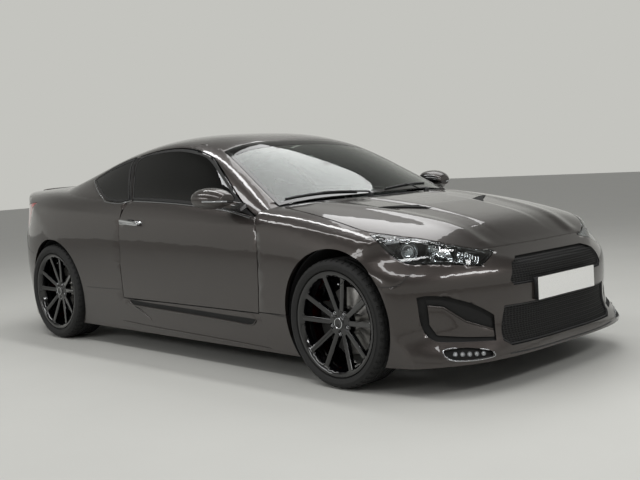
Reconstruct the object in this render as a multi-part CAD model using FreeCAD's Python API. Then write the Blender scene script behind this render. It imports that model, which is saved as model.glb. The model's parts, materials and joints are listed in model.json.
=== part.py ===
import FreeCAD, Part
import math
import os
from FreeCAD import Vector

# Two-door sports coupe. Millimetres, +X forward, +Y to the left, +Z up.
# The origin is on the ground, midway between nose and tail.

# Overall sizes. The body tables are drawn at the sizes in DRAWN and stretch with these three.
WHEELBASE = 2820.0
BODY_WIDTH = 1865.0
BODY_HEIGHT = 1385.0
DRAWN = {"wheelbase": 2820.0, "width": 1865.0, "height": 1385.0}
FRONT_AXLE_DRAWN = 1449.0
REAR_AXLE_DRAWN = -1371.0
TABLE_OFFSET = 63.5

# Wheels
FRONT_TRACK = 1603.0
REAR_TRACK = 1612.0
FRONT_TYRE_RADIUS = 331.0
REAR_TYRE_RADIUS = 338.0
FRONT_TYRE_WIDTH = 235.0
REAR_TYRE_WIDTH = 250.0
RIM_LIP_RADIUS = 268.0
RIM_SEAT_RADIUS = 254.0
RIM_WALL = 9.0
SPOKE_PAIRS = 5
SPOKE_WIDTH = 26.0
SPOKE_DEPTH = 30.0
HUB_RADIUS = 74.0
HUB_RECESS = 38.0
BORE_RADIUS = 32.0
LUG_CIRCLE = 57.15
LUG_HOLE = 7.5
FRONT_DISC_RADIUS = 172.0
REAR_DISC_RADIUS = 165.0
DISC_THICKNESS = 28.0
DISC_INSET = 62.0
STEER_AXIS_INSET = 50.0

# Panels, glass and gaps
PANEL = 22.0
LID_SKIN = 9.0
LID_FRAME = 30.0
LID_FRAME_SETBACK = 48.0
DOOR_INNER = 800.0
DOOR_BOX_SETBACK = 45.0
PILLAR = 34.0
GLASS = 5.0
SHUT_GAP = 6.0
GLASS_GAP = 7.0
SEAM = 3.0
LINER = 6.0
LENS = 4.0
BOWL_BACK = 1640.0
BOWL_WALL = 5.0
SPOKE_SPREAD = 15.0
PLAN_BAND_LOW = 300.0
TUNNEL_HALF = 150.0
TUNNEL_TOP = 330.0
WELL_RADIUS = 382.0
HANDLE_X = -452.0
HANDLE_LENGTH = 200.0
HANDLE_Y = 926.0
HANDLE_Z = 822.0
SEAT_Y = 370.0
COLUMN_RADIUS = 22.0
COLUMN_CLEARANCE = 5.0
MIRROR_FOOT_X = 724.0
# Wiper blades in plan. Columns: inner end, outer end, arm pivot
WIPERS = [((984, -205), (884, -680), (1012, -120)), ((918, 480), (985, 20), (980, 400))]
# Door mirror head, from its face to its nose. Columns: x, y, z of the centre, half width, half height
MIRROR = [(539, 975, 979, 92, 56), (584, 972, 980, 96, 60), (664, 964, 976, 84, 52), (716, 950, 970, 44, 28)]
ARCH_RADIUS_FRONT = 367.0
ARCH_RADIUS_REAR = 366.0
WELL_INNER = 500.0
ARCH_DRAWN_Z = 346.0
FLOOR_Z = 158.0
SHEET = 22.0
REAR_FLOOR_Z = 362.0
SHAFT_RADIUS = 18.0
SHAFT_HOLE = 28.0

# Lower body sections from tail to nose: station x, then (y, z) poles of the half section.
# Columns: sill foot, rocker, widest, under crease, crease, shoulder, hood edge, hood middle, centre z
LOWER = [
    (-2440, (720, 135), (800, 339), (815, 612), (800, 863), (740, 976), (700, 1022), (600, 1044), (320, 1047), 1039),
    (-2150, (780, 135), (855, 340), (870, 612), (850, 872), (792, 979), (730, 1031), (620, 1054), (330, 1059), 1054),
    (-1900, (840, 135), (895, 351), (912, 622), (895, 862), (842, 966), (775, 1033), (660, 1061), (360, 1069), 1064),
    (-1650, (870, 132), (915, 350), (937, 622), (922, 852), (872, 953), (810, 1027), (700, 1066), (380, 1078), 1075),
    (-1371, (880, 130), (918, 349), (942, 631), (930, 841), (893, 934), (836, 1009), (740, 1058), (400, 1072), 1073),
    (-1050, (880, 130), (905, 338), (930, 610), (924, 810), (896, 906), (848, 992), (765, 1036), (405, 1047), 1038),
    (-700, (880, 130), (892, 327), (916, 598), (915, 778), (893, 878), (856, 977), (790, 1004), (410, 1005), 994),
    (-200, (880, 130), (890, 316), (909, 586), (910, 746), (890, 850), (856, 968), (800, 987), (415, 982), 972),
    (300, (880, 130), (890, 315), (907, 584), (908, 734), (888, 834), (856, 937), (800, 960), (415, 959), 949),
    (800, (880, 130), (893, 314), (913, 583), (912, 722), (888, 822), (862, 888), (785, 924), (420, 947), 946),
    (1100, (880, 130), (900, 313), (923, 582), (920, 716), (890, 814), (862, 872), (750, 906), (410, 928), 924),
    (1449, (880, 130), (910, 323), (933, 591), (925, 712), (882, 785), (838, 822), (715, 856), (400, 884), 880),
    (1600, (876, 129), (907, 322), (926, 590), (910, 700), (868, 758), (815, 793), (700, 828), (390, 854), 850),
    (1750, (872, 138), (905, 322), (920, 590), (900, 690), (855, 732), (795, 762), (685, 798), (380, 824), 822),
    (1900, (868, 148), (895, 322), (905, 575), (880, 660), (830, 695), (765, 722), (660, 754), (370, 782), 784),
    (2035, (860, 158), (890, 321), (898, 560), (860, 615), (800, 640), (735, 656), (630, 668), (360, 680), 680),
    (2150, (830, 164), (850, 319), (855, 520), (820, 560), (772, 580), (705, 598), (590, 612), (320, 618), 618),
    (2300, (800, 166), (830, 318), (810, 470), (770, 500), (722, 512), (640, 522), (550, 530), (300, 536), 536),
]
CREASE = 4

# Plan outline by height. Columns: z, nose centre x, share of the nose corner, tail centre x behind the origin.
# The share runs from -1 (all NOSE_LOW) over 0 (all NOSE) to 1 (all NOSE_HIGH).
PLAN = [
    (60, 2214, -1.0, 2270),
    (150, 2222, -1.0, 2284),
    (205, 2224, -1.0, 2292),
    (258, 2206, -0.35, 2302),
    (320, 2202, 0.0, 2318),
    (420, 2212, 0.0, 2345),
    (540, 2214, 0.0, 2358),
    (600, 2190, 0.3, 2354),
    (660, 2130, 0.9, 2350),
    (720, 2108, 1.0, 2340),
    (850, 2060, 1.0, 2285),
    (1000, 1960, 1.0, 2250),
    (1150, 1800, 1.0, 2235),
]
# Corner shapes from the side to the centre. Columns: x from the centre's x, y
NOSE = [(-731, 948), (-427, 930), (-299, 845), (-171, 700), (-33, 460), (6, 210), (0, 0)]
NOSE_HIGH = [(-1100, 948), (-530, 930), (-390, 845), (-180, 700), (-40, 460), (-8, 210), (0, 0)]
NOSE_LOW = [(-740, 948), (-450, 932), (-280, 875), (-85, 725), (-12, 470), (4, 210), (0, 0)]
TAIL = [(-900, 938), (-560, 885), (-270, 765), (-110, 600), (-34, 400), (-4, 190), (0, 0)]
PLAN_SIDE = [(0, 970), (800, 962)]

# Cabin sections from cowl to deck: station x, then (y, z) poles of the half section.
# Columns: foot, belt, glass middle, rail foot, rail top, roof quarter, centre z
CABIN = [
    (1120, (870, 700), (850, 780), (835, 800), (820, 811), (790, 821), (420, 873), 880),
    (960, (870, 722), (850, 817), (838, 840), (825, 852), (795, 867), (430, 940), 949),
    (800, (866, 762), (846, 870), (826, 901), (806, 926), (770, 948), (430, 1028), 1041),
    (560, (866, 792), (845, 913), (802, 978), (762, 1040), (716, 1079), (412, 1150), 1159),
    (300, (866, 823), (845, 936), (768, 1062), (702, 1176), (650, 1223), (382, 1266), 1270),
    (60, (866, 844), (845, 952), (748, 1100), (664, 1239), (614, 1296), (360, 1345), 1347),
    (-200, (866, 854), (845, 963), (742, 1114), (650, 1265), (600, 1326), (350, 1371), 1375),
    (-480, (866, 855), (845, 964), (745, 1109), (655, 1251), (604, 1311), (355, 1361), 1368),
    (-800, (866, 857), (843, 967), (758, 1084), (682, 1193), (634, 1252), (370, 1300), 1307),
    (-1080, (862, 868), (836, 972), (776, 1047), (715, 1116), (668, 1165), (390, 1213), 1220),
    (-1350, (850, 889), (820, 982), (775, 1024), (730, 1059), (688, 1088), (400, 1131), 1135),
    (-1580, (830, 889), (800, 977), (760, 1000), (720, 1018), (680, 1033), (400, 1060), 1062),
    (-1780, (800, 869), (770, 937), (735, 953), (700, 964), (660, 975), (390, 987), 985),
]

FAR = 3000.0
NODES = {}


def along(x):
    """Drawn station to x. The tables count from between the axles, the part from between nose and tail."""
    return (x + TABLE_OFFSET) * WHEELBASE / DRAWN["wheelbase"]


def across(y):
    return y * BODY_WIDTH / DRAWN["width"]


def up(z):
    return z * BODY_HEIGHT / DRAWN["height"]


def at(x, y, z):
    return Vector(along(x), across(y), up(z))


FRONT_AXLE = Vector(along(FRONT_AXLE_DRAWN), FRONT_TRACK / 2, FRONT_TYRE_RADIUS)
REAR_AXLE = Vector(along(REAR_AXLE_DRAWN), REAR_TRACK / 2, REAR_TYRE_RADIUS)


def clamped(count):
    """Multiplicities and knots of a clamped cubic curve with this many poles"""
    return [4] + [1] * (count - 4) + [4], [float(i) for i in range(count - 2)]


def net_surface(rows):
    u_mults, u_knots = clamped(len(rows))
    v_mults, v_knots = clamped(len(rows[0]))
    surface = Part.BSplineSurface()
    surface.buildFromPolesMultsKnots(rows, u_mults, v_mults, u_knots, v_knots, False, False, 3, 3)
    return surface


def closed_solid(sections):
    """Solid through sections, each a list of patches of poles that join end to end.
    A straight line closes each section, and flat faces close the two ends."""
    patches = len(sections[0])
    surfaces = [net_surface([section[k] for section in sections]) for k in range(patches)]
    faces = [surface.toShape() for surface in surfaces]
    first = surfaces[0].vIso(0.0)
    last = surfaces[-1].vIso(float(len(sections[0][-1]) - 3))
    is_open = sections[0][0][0].distanceToPoint(sections[0][-1][-1]) > 1e-6
    if is_open:
        faces.append(Part.makeRuledSurface(first.toShape(), last.toShape()))
    for row, u in ((0, 0.0), (-1, float(len(sections) - 3))):
        edges = [surface.uIso(u).toShape() for surface in surfaces]
        if is_open:
            edges.append(Part.makeLine(sections[row][-1][-1], sections[row][0][0]))
        faces.append(Part.Face(Part.Wire(edges)))
    skin = Part.makeCompound(faces)
    skin.sewShape()
    solid = Part.Solid(skin.Shells[0])
    if solid.Volume < 0:
        solid.reverse()
    return solid


def moved_line(points, distance):
    """Open line of (a, b) points moved to its right side, with mitred corners"""
    moved = []
    for i, (a, b) in enumerate(points):
        normals = []
        for start, end in ((i - 1, i), (i, i + 1)):
            if start < 0 or end >= len(points):
                continue
            da = points[end][0] - points[start][0]
            db = points[end][1] - points[start][1]
            length = math.hypot(da, db)
            normals.append((db / length, -da / length))
        na = sum(n[0] for n in normals)
        nb = sum(n[1] for n in normals)
        length = math.hypot(na, nb)
        stretch = distance / (na * normals[0][0] + nb * normals[0][1])
        moved.append((a + na * stretch, b + nb * stretch))
    return moved


def whole_section(half, centre_z, inset):
    """Both halves of a cross section as (y, z), from the right foot over the top to the left foot"""
    right = [(-across(y), up(z)) for y, z in half] + [(0.0, up(centre_z))]
    left = [(-y, z) for y, z in reversed(right[:-1])]
    whole = moved_line(right + left, inset) if inset else right + left
    foot_z = whole[0][1] - inset
    return [(whole[0][0], foot_z)] + whole[1:-1] + [(whole[-1][0], foot_z)]


def lower_net(inset):
    sections = []
    for row in LOWER:
        poles = [Vector(along(row[0]), y, z) for y, z in whole_section(row[1:-1], row[-1], inset)]
        last = len(poles) - 1 - CREASE
        sections.append([poles[:CREASE + 1], poles[CREASE:last + 1], poles[last:]])
    return closed_solid(sections)


def nose_corner(share):
    """Corner of the nose at one height: NOSE, or part of the way to the low (-1) or the high (1) one"""
    other = NOSE_HIGH if share > 0 else NOSE_LOW
    return [(a[0] + (b[0] - a[0]) * abs(share), a[1] + (b[1] - a[1]) * abs(share)) for a, b in zip(NOSE, other)]


def plan_end(corner, centre_x, z, inset, sign):
    half = [(sign * along(sign * x), across(y)) for x, y in PLAN_SIDE]
    half += [(sign * along(sign * (centre_x + dx)), across(y)) for dx, y in corner]
    whole = half + [(x, -y) for x, y in reversed(half[:-1])]
    if inset:
        whole = moved_line(whole, inset)
    return [Vector(sign * x, sign * y, up(z)) for x, y in whole]


def plan_net(inset):
    sections = []
    for z, nose_x, share, tail_x in PLAN:
        front = plan_end(nose_corner(share), nose_x, z, inset, 1)
        rear = plan_end(TAIL, tail_x, z, inset, -1)
        rear[0] = front[-1]
        rear[-1] = front[0]
        sections.append([front, rear])
    return closed_solid(sections)


def cabin_net(inset):
    sections = []
    for row in CABIN:
        poles = [Vector(along(row[0]), y, z) for y, z in whole_section(row[1:-1], row[-1], inset)]
        sections.append([poles])
    return closed_solid(sections)


MADE = {}


def body(inset=0.0):
    if ("body", inset) not in MADE:
        MADE["body", inset] = lower_net(inset).common(plan_net(inset))
    return MADE["body", inset]


def cabin(inset=0.0):
    if ("cabin", inset) not in MADE:
        MADE["cabin", inset] = cabin_net(inset)
    return MADE["cabin", inset]


def body_shell(outer, inner):
    if ("body shell", outer, inner) not in MADE:
        MADE["body shell", outer, inner] = body(outer).cut(body(inner))
    return MADE["body shell", outer, inner]


def view_point(view, a, b):
    """Point of an outline drawn in a view: side (x, z), plan (x, y), front (y, z).
    The corner view looks at the right front corner, with a = (x + y) / sqrt 2."""
    if view == "side":
        return at(a, 0, b)
    if view == "plan":
        return at(a, b, 0)
    if view == "front":
        return at(0, a, b)
    return at(a / math.sqrt(2), a / math.sqrt(2), b)


VIEW_AXIS = {"side": Vector(0, 1, 0), "plan": Vector(0, 0, 1), "front": Vector(1, 0, 0),
             "corner": Vector(math.sqrt(0.5), -math.sqrt(0.5), 0)}


def outline(view, start, *runs):
    """Face bounded by runs of points, each from where the last one ended.
    A run of one point is straight, a longer run is a smooth curve, and a line closes it."""
    edges = []
    here = start
    for run in runs:
        points = [view_point(view, *here)] + [view_point(view, *p) for p in run]
        if len(points) == 2:
            edges.append(Part.makeLine(*points))
        else:
            curve = Part.BSplineCurve()
            curve.interpolate(points)
            edges.append(curve.toShape())
        here = run[-1]
    if here != start:
        edges.append(Part.makeLine(view_point(view, *here), view_point(view, *start)))
    return Part.Face(Part.Wire(edges))


def other_side(points):
    """The run of points mirrored to the other side of the centre plane, in return order"""
    return [(x, -y) for x, y in reversed(points)]


def prism(view, face, low, high):
    """The face extruded along its view's axis between two distances from the origin"""
    axis = VIEW_AXIS[view]
    placed = face.copy()
    placed.translate(axis * low)
    return placed.extrude(axis * (high - low))


def grown(face, distance):
    return face.makeOffset2D(distance).toNurbs().Faces[0] if distance else face


def mirror(shape):
    return shape.mirror(Vector(0, 0, 0), Vector(0, 1, 0))


def both(shape):
    return Part.makeCompound([shape, mirror(shape)])


def block(x0, x1, y0, y1, z0, z1):
    low = at(x0, y0, z0)
    high = at(x1, y1, z1)
    return Part.makeBox(high.x - low.x, high.y - low.y, high.z - low.z, low)


def rod(start, end, radius):
    return Part.makeCylinder(radius, start.distanceToPoint(end), start, end - start)


def fuse(shapes):
    return shapes[0].multiFuse(shapes[1:]).removeSplitter()


def add(name, shape):
    NODES[name] = shape


# Outlines of the openings and shut lines
DOOR_BELT = [(815, 866), (578, 905), (242, 938), (-78, 959), (-399, 971)]
DOOR_FACE = outline("side", (-510, 345), [(853, 344)], [(874, 483), (888, 641), (880, 760), (833, 867)],
                    [(815, 866)], DOOR_BELT[1:], [(-418, 971)], [(-470, 905), (-489, 766), (-500, 567)])
SIDE_GLASS = outline("side", (815, 866), DOOR_BELT[1:], [(-418, 971)], [(-574, 1194)], [(-565, 1249)],
                     [(-370, 1275), (-168, 1281), (33, 1261), (247, 1205)], [(551, 1020), (718, 916), (815, 866)])
QUARTER_GLASS = outline("side", (-457, 975), [(-539, 962)], [(-618, 964), (-742, 978)],
                        [(-1039, 1113)], [(-855, 1192), (-613, 1247)], [(-621, 1195)])
WINDSCREEN_SIDE = [(881, -722), (718, -688), (504, -640), (244, -578)]
WINDSCREEN_TOP = [(244, -578), (218, -420), (197, 0), (218, 420), (244, 578)]
WINDSCREEN_FOOT = [(881, 722), (925, 500), (961, 250), (972, 0), (961, -250), (925, -500), (881, -722)]
WINDSCREEN = outline("plan", WINDSCREEN_SIDE[0], WINDSCREEN_SIDE[1:], WINDSCREEN_TOP[1:],
                     other_side(WINDSCREEN_SIDE)[1:], WINDSCREEN_FOOT[1:])
BACKLIGHT_SIDE = [(-700, -548), (-1000, -590), (-1300, -624), (-1540, -630)]
BACKLIGHT_FOOT = [(-1540, -630), (-1566, -300), (-1572, 0), (-1566, 300), (-1540, 630)]
BACKLIGHT_TOP = [(-700, 548), (-664, 300), (-656, 0), (-664, -300), (-700, -548)]
BACKLIGHT = outline("plan", BACKLIGHT_SIDE[0], BACKLIGHT_SIDE[1:], BACKLIGHT_FOOT[1:],
                    other_side(BACKLIGHT_SIDE)[1:], BACKLIGHT_TOP[1:])
ROOF_SIDE = [(244, -578), (31, -573), (-271, -566), (-700, -548)]
ROOF = outline("plan", ROOF_SIDE[0], ROOF_SIDE[1:], BACKLIGHT_TOP[-2::-1], other_side(ROOF_SIDE)[1:],
               WINDSCREEN_TOP[-2::-1])
HOOD_SIDE = [(940, -732), (1120, -762), (1309, -781), (1480, -796), (1605, -798), (1700, -771)]
HOOD_LAMP = [(1700, -771), (1780, -741), (1865, -688), (1936, -625), (2000, -535), (2040, -450)]
HOOD_FRONT = [(2040, -450), (2047, -240), (2050, 0), (2047, 240), (2040, 450)]
HOOD_REAR = [(940, 732), (992, 500), (1028, 250), (1042, 0), (1028, -250), (992, -500), (940, -732)]
HOOD = outline("plan", HOOD_SIDE[0], HOOD_SIDE[1:], HOOD_LAMP[1:], HOOD_FRONT[1:], other_side(HOOD_LAMP)[1:],
               other_side(HOOD_SIDE)[1:], HOOD_REAR[1:])
COWL = outline("plan", (1120, -732), [(840, -732)], [(840, 732)], [(1120, 732)])
TRUNK_SIDE = [(-1578, -628), (-1800, -618), (-2050, -586), (-2200, -560)]
TRUNK = outline("plan", TRUNK_SIDE[0], TRUNK_SIDE[1:], [(-2500, -560)], [(-2500, 560)], [(-2200, 560)],
                other_side(TRUNK_SIDE)[1:], [(-1604, 300), (-1610, 0), (-1604, -300), (-1578, -628)])
TRUNK_REAR_HALF = [(-425, 758), (-440, 915), (-560, 930), (-660, 975), (-680, 1300)]
HEADLAMP = outline("corner", (590, 773), [(660, 778), (734, 774), (927, 742), (1117, 692)], [(1183, 662)],
                   [(1106, 608)], [(938, 627), (780, 635)], [(720, 653), (678, 683), (631, 735), (590, 773)])
TAIL_LAMP = outline("side", (-1674, 972), [(-1743, 891), (-1838, 802), (-1920, 758)], [(-2500, 758)],
                    [(-2500, 915)], [(-2200, 915)], [(-2000, 940), (-1674, 972)])
JOINT_LINE = [(1696, 536), (1790, 537), (1857, 545), (1889, 585), (1910, 622), (1920, 690)]
FRONT_BUMPER = outline("side", JOINT_LINE[0], JOINT_LINE[1:], [(1920, 1000)], [(2600, 1000)], [(2600, 40)],
                       [(1440, 40)], [(1440, 536)])
FENDER = outline("side", JOINT_LINE[0], JOINT_LINE[1:], [(1920, 1100)], [(840, 1100)], [(840, 350)], [(1440, 350)],
                 [(1440, 536)])
REAR_BUMPER = outline("side", (-1709, 601), [(-1870, 629), (-1945, 690), (-1968, 752)], [(-2700, 752)],
                      [(-2700, 40)], [(-1370, 40)], [(-1370, 601)])
SKIRT = outline("side", (1240, 40), [(1240, 348)], [(-400, 336)], [(-482, 399)], [(-1250, 394)], [(-1250, 40)])
UPPER_GRILLE_HALF = [(-394, 500), (-414, 526), (-372, 604), (-301, 630)]
LOWER_GRILLE_HALF = [(-446, 216), (-486, 246), (-453, 408)]


def symmetric_polygon(half):
    """Front view polygon from its right half, listed from below"""
    points = half + [(-y, z) for y, z in reversed(half)]
    return outline("front", points[0], *[[p] for p in points[1:]])


TRUNK_REAR = symmetric_polygon(TRUNK_REAR_HALF)
UPPER_GRILLE = symmetric_polygon(UPPER_GRILLE_HALF)
LOWER_GRILLE = symmetric_polygon(LOWER_GRILLE_HALF)
INTAKE = outline("corner", (781, 483), [(845, 489), (911, 480), (1071, 423), (1154, 369)], [(1156, 250)],
                 [(882, 268)], [(819, 304), (794, 368), (781, 483)])
LIP_LAMP = outline("corner", (893, 229), [(932, 236), (1098, 217)], [(1131, 200), (1128, 186)], [(1023, 182)],
                   [(937, 189), (905, 205), (893, 229)])


def side_band(face, gap=0.0):
    return prism("side", grown(face, gap), -FAR, FAR)


def plan_band(face, gap=0.0):
    return prism("plan", grown(face, gap), PLAN_BAND_LOW, FAR)


def front_band(face, gap=0.0):
    return prism("front", grown(face, gap), 0, FAR)


def rear_band(face, gap=0.0):
    return prism("front", grown(face, gap), -FAR, 0)


def corner_band(face, gap=0.0, low=1400.0, high=FAR):
    return both(prism("corner", grown(face, gap), low, high))


def arches(margin, inner):
    """Round holes of the four wheel arches, from inner |y| outwards"""
    holes = []
    for axle, radius in ((FRONT_AXLE, ARCH_RADIUS_FRONT), (REAR_AXLE, ARCH_RADIUS_REAR)):
        centre = Vector(axle.x, inner, up(ARCH_DRAWN_Z))
        holes.append(Part.makeCylinder(radius + margin, BODY_WIDTH, centre, Vector(0, 1, 0)))
    return both(Part.makeCompound(holes))


def hollow_panel(region, frame_region):
    """Thin skin over the whole outline, with a thicker frame set back from its edge"""
    skin = body_shell(0.0, LID_SKIN).common(region)
    frame = body_shell(LID_SKIN, LID_FRAME).common(frame_region)
    return fuse([skin, frame])


def lids():
    add("hood", hollow_panel(plan_band(HOOD), plan_band(HOOD, -LID_FRAME_SETBACK)))
    region = plan_band(TRUNK).common(rear_band(TRUNK_REAR))
    frame = plan_band(TRUNK, -LID_FRAME_SETBACK).common(rear_band(TRUNK_REAR, -LID_FRAME_SETBACK))
    add("trunk_lid", hollow_panel(region, frame))


def doors():
    outer = body().common(side_band(DOOR_FACE))
    skin = outer.cut(body(PANEL)).cut(block(-FAR, FAR, -DOOR_INNER, DOOR_INNER, 0, FAR))
    box = body(PANEL).common(side_band(DOOR_FACE, -DOOR_BOX_SETBACK))
    box = box.cut(block(-FAR, FAR, -DOOR_INNER, DOOR_INNER, 0, FAR))
    handle = door_handle()
    door = fuse([skin, box, handle])
    right = block(-FAR, FAR, -FAR, 0, 0, FAR)
    add("door_right", door.common(right))
    add("door_left", mirror(NODES["door_right"]))


def door_handle():
    """Bar with two feet on the door skin, mirrored to both doors"""
    bar = block(HANDLE_X, HANDLE_X + HANDLE_LENGTH, -HANDLE_Y, -HANDLE_Y + 12, HANDLE_Z, HANDLE_Z + 22)
    bar = bar.makeFillet(5, bar.Edges)
    feet = [block(x, x + 26, -HANDLE_Y + 6, -880, HANDLE_Z + 2, HANDLE_Z + 20)
            for x in (HANDLE_X, HANDLE_X + HANDLE_LENGTH - 26)]
    return both(fuse([bar] + feet))


def door_mirrors():
    """Shell of the door mirror: an egg-shaped loft on a foot at the front corner of the window"""
    sections = []
    for x, y, z, wide, high in MIRROR:
        sections.append(Part.Wire(oval(at(x, -y, z), wide, high)))
    head = Part.makeLoft(sections, True)
    foot = Part.makeLoft([Part.Wire(oval(at(MIRROR_FOOT_X, -865, 925), 46, 22)),
                          Part.Wire(oval(at(MIRROR_FOOT_X - 20, -925, 940), 40, 20))], True)
    whole = fuse([head, foot.cut(body()).cut(cabin())])
    add("mirror_right", whole)
    add("mirror_left", mirror(whole))


def oval(centre, wide, high):
    """Rounded ring in a plane across X, for lofts along X"""
    edge = Part.Ellipse(centre, max(wide, high), min(wide, high)).toShape()
    edge = edge.copy()
    edge.rotate(centre, Vector(0, 1, 0), 90)
    if wide > high:
        edge.rotate(centre, Vector(1, 0, 0), 90)
    return edge


def lamps():
    lens = body_shell(0.0, LENS)
    hood = plan_band(HOOD, SHUT_GAP)
    right_lens = lens.common(corner_band(HEADLAMP)).cut(hood)
    add("headlamp_lenses", right_lens)
    bowl = body(LENS).common(corner_band(HEADLAMP, 0.0, BOWL_BACK)).cut(hood)
    hollow = body(LENS - 1).common(corner_band(HEADLAMP, -BOWL_WALL, BOWL_BACK + BOWL_WALL))
    liner = Part.makeCylinder(WELL_RADIUS + LINER + SEAM, BODY_WIDTH, Vector(FRONT_AXLE.x, WELL_INNER, FRONT_AXLE.z),
                              Vector(0, 1, 0))
    add("headlamps", bowl.cut(hollow).cut(Part.makeCompound([both(liner)])))
    trunk = plan_band(TRUNK, SHUT_GAP).common(rear_band(TRUNK_REAR, SHUT_GAP))
    tail = body_shell(0.0, PANEL).common(side_band(TAIL_LAMP))
    tail = tail.cut(block(-FAR, FAR, -436, 436, 0, FAR)).cut(trunk)
    add("tail_lamps", tail)


def grilles():
    """Panels behind the openings of the front bumper, carried by the bumper's rim"""
    layer = body_shell(PANEL - 6, PANEL + 8)
    panels = []
    for face, band in ((UPPER_GRILLE, front_band), (LOWER_GRILLE, front_band)):
        panels.append(layer.common(band(face)))
    for face in (INTAKE, LIP_LAMP):
        panels.append(layer.common(corner_band(face)))
    add("grilles", Part.makeCompound(panels))


def cowl():
    panel = body_shell(2.0, PANEL).common(plan_band(COWL)).cut(plan_band(HOOD, SHUT_GAP)).cut(cabin())
    add("cowl", panel)


def underbody():
    floor = block(-1000, 960, -790, 790, FLOOR_Z, FLOOR_Z + SHEET)
    tunnel = block(-1000, 960, -TUNNEL_HALF, TUNNEL_HALF, FLOOR_Z, TUNNEL_TOP)
    tunnel_space = block(-1010, 970, SHEET - TUNNEL_HALF, TUNNEL_HALF - SHEET, 100, TUNNEL_TOP - SHEET)
    sills = both(block(-990, 1040, -846, -745, 135, 318))
    firewall = block(940, 940 + SHEET, -780, 780, FLOOR_Z, 850)
    rails = both(block(960, 2050, -WELL_INNER, -430, 390, 490))
    cross = block(2010, 2052, -540, 540, 240, 600)
    radiator = block(2051, 2071, -480, 480, 260, 585)
    crash_beam = fuse([block(2051, 2210, -420, 420, 414, 494), both(block(2005, 2056, -WELL_INNER, -388, 390, 545))])
    rear_floor = block(-2230, -980, -520, 520, REAR_FLOOR_Z, REAR_FLOOR_Z + SHEET)
    rear_wings = block(-2230, -1790, -700, 700, REAR_FLOOR_Z, REAR_FLOOR_Z + SHEET)
    heel = block(-1002, -980, -780, 780, FLOOR_Z, REAR_FLOOR_Z + SHEET)
    shelf = block(-1560, -1010, -560, 560, 905, 905 + SHEET)
    bulkhead = block(-1010, -1010 + SHEET, -560, 560, REAR_FLOOR_Z, 927)
    tail_beam = fuse([block(-2230, -2190, -690, 690, 330, 640), block(-2420, -2190, -520, 520, 420, 500)])
    posts = both(fuse([block(-620, -520, -870, -790, 250, 930), block(875, 960, -880, -780, 300, 830)]))
    cowl_beam = block(900, 962, -780, 780, 790, 850)
    rear_rails = both(block(-2300, -980, -600, -520, 330, 430))
    inside = body(PANEL)
    wells = []
    for axle in (FRONT_AXLE, REAR_AXLE):
        centre = Vector(axle.x, WELL_INNER, axle.z)
        outer = Part.makeCylinder(WELL_RADIUS + LINER, 360, centre, Vector(0, 1, 0))
        hole = Part.makeCylinder(WELL_RADIUS, 400, centre + Vector(0, LINER, 0), Vector(0, 1, 0))
        wells.append((outer, hole))
    hangers = [block(-2060, -2030, y - 15, y + 15, 320, REAR_FLOOR_Z + 1) for y in (-360, 360)]
    wall = 12 - WELL_INNER
    passages = both(block(-1560, -1180, wall - 24, wall, 262, 345))
    shafts = both(rod(Vector(REAR_AXLE.x, wall - 24, REAR_AXLE.z), Vector(REAR_AXLE.x, wall, REAR_AXLE.z), SHAFT_HOLE))
    shell = fuse(hangers + [floor, tunnel, sills, firewall, rails, cross, rear_floor, rear_wings, heel, shelf,
                  bulkhead, tail_beam, posts, cowl_beam, rear_rails, radiator, crash_beam])
    liners = both(Part.makeCompound([outer.cut(block(-FAR, FAR, 0, FAR, 0, 190)) for outer, hole in wells]))
    holes = both(Part.makeCompound([hole for outer, hole in wells]))
    shell = fuse([shell] + liners.Solids)
    shell = shell.common(inside).cut(holes).cut(Part.makeCompound([tunnel_space, passages, shafts]))
    shell = shell.cut(side_band(DOOR_FACE, SHUT_GAP).cut(block(-FAR, FAR, -DOOR_INNER + SHUT_GAP,
                                                              DOOR_INNER - SHUT_GAP, 0, FAR)))
    add("underbody", shell.common(block(-FAR, FAR, -FAR, FAR, 135, FAR)))


def revolved(points, axis_y_sign=1):
    """Solid turned about the Y axis from a closed profile of (y, radius) points"""
    wire = Part.makePolygon([Vector(0, y, r) for y, r in points + points[:1]])
    return Part.Face(wire).revolve(Vector(0, 0, 0), Vector(0, 1, 0), 360)


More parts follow.
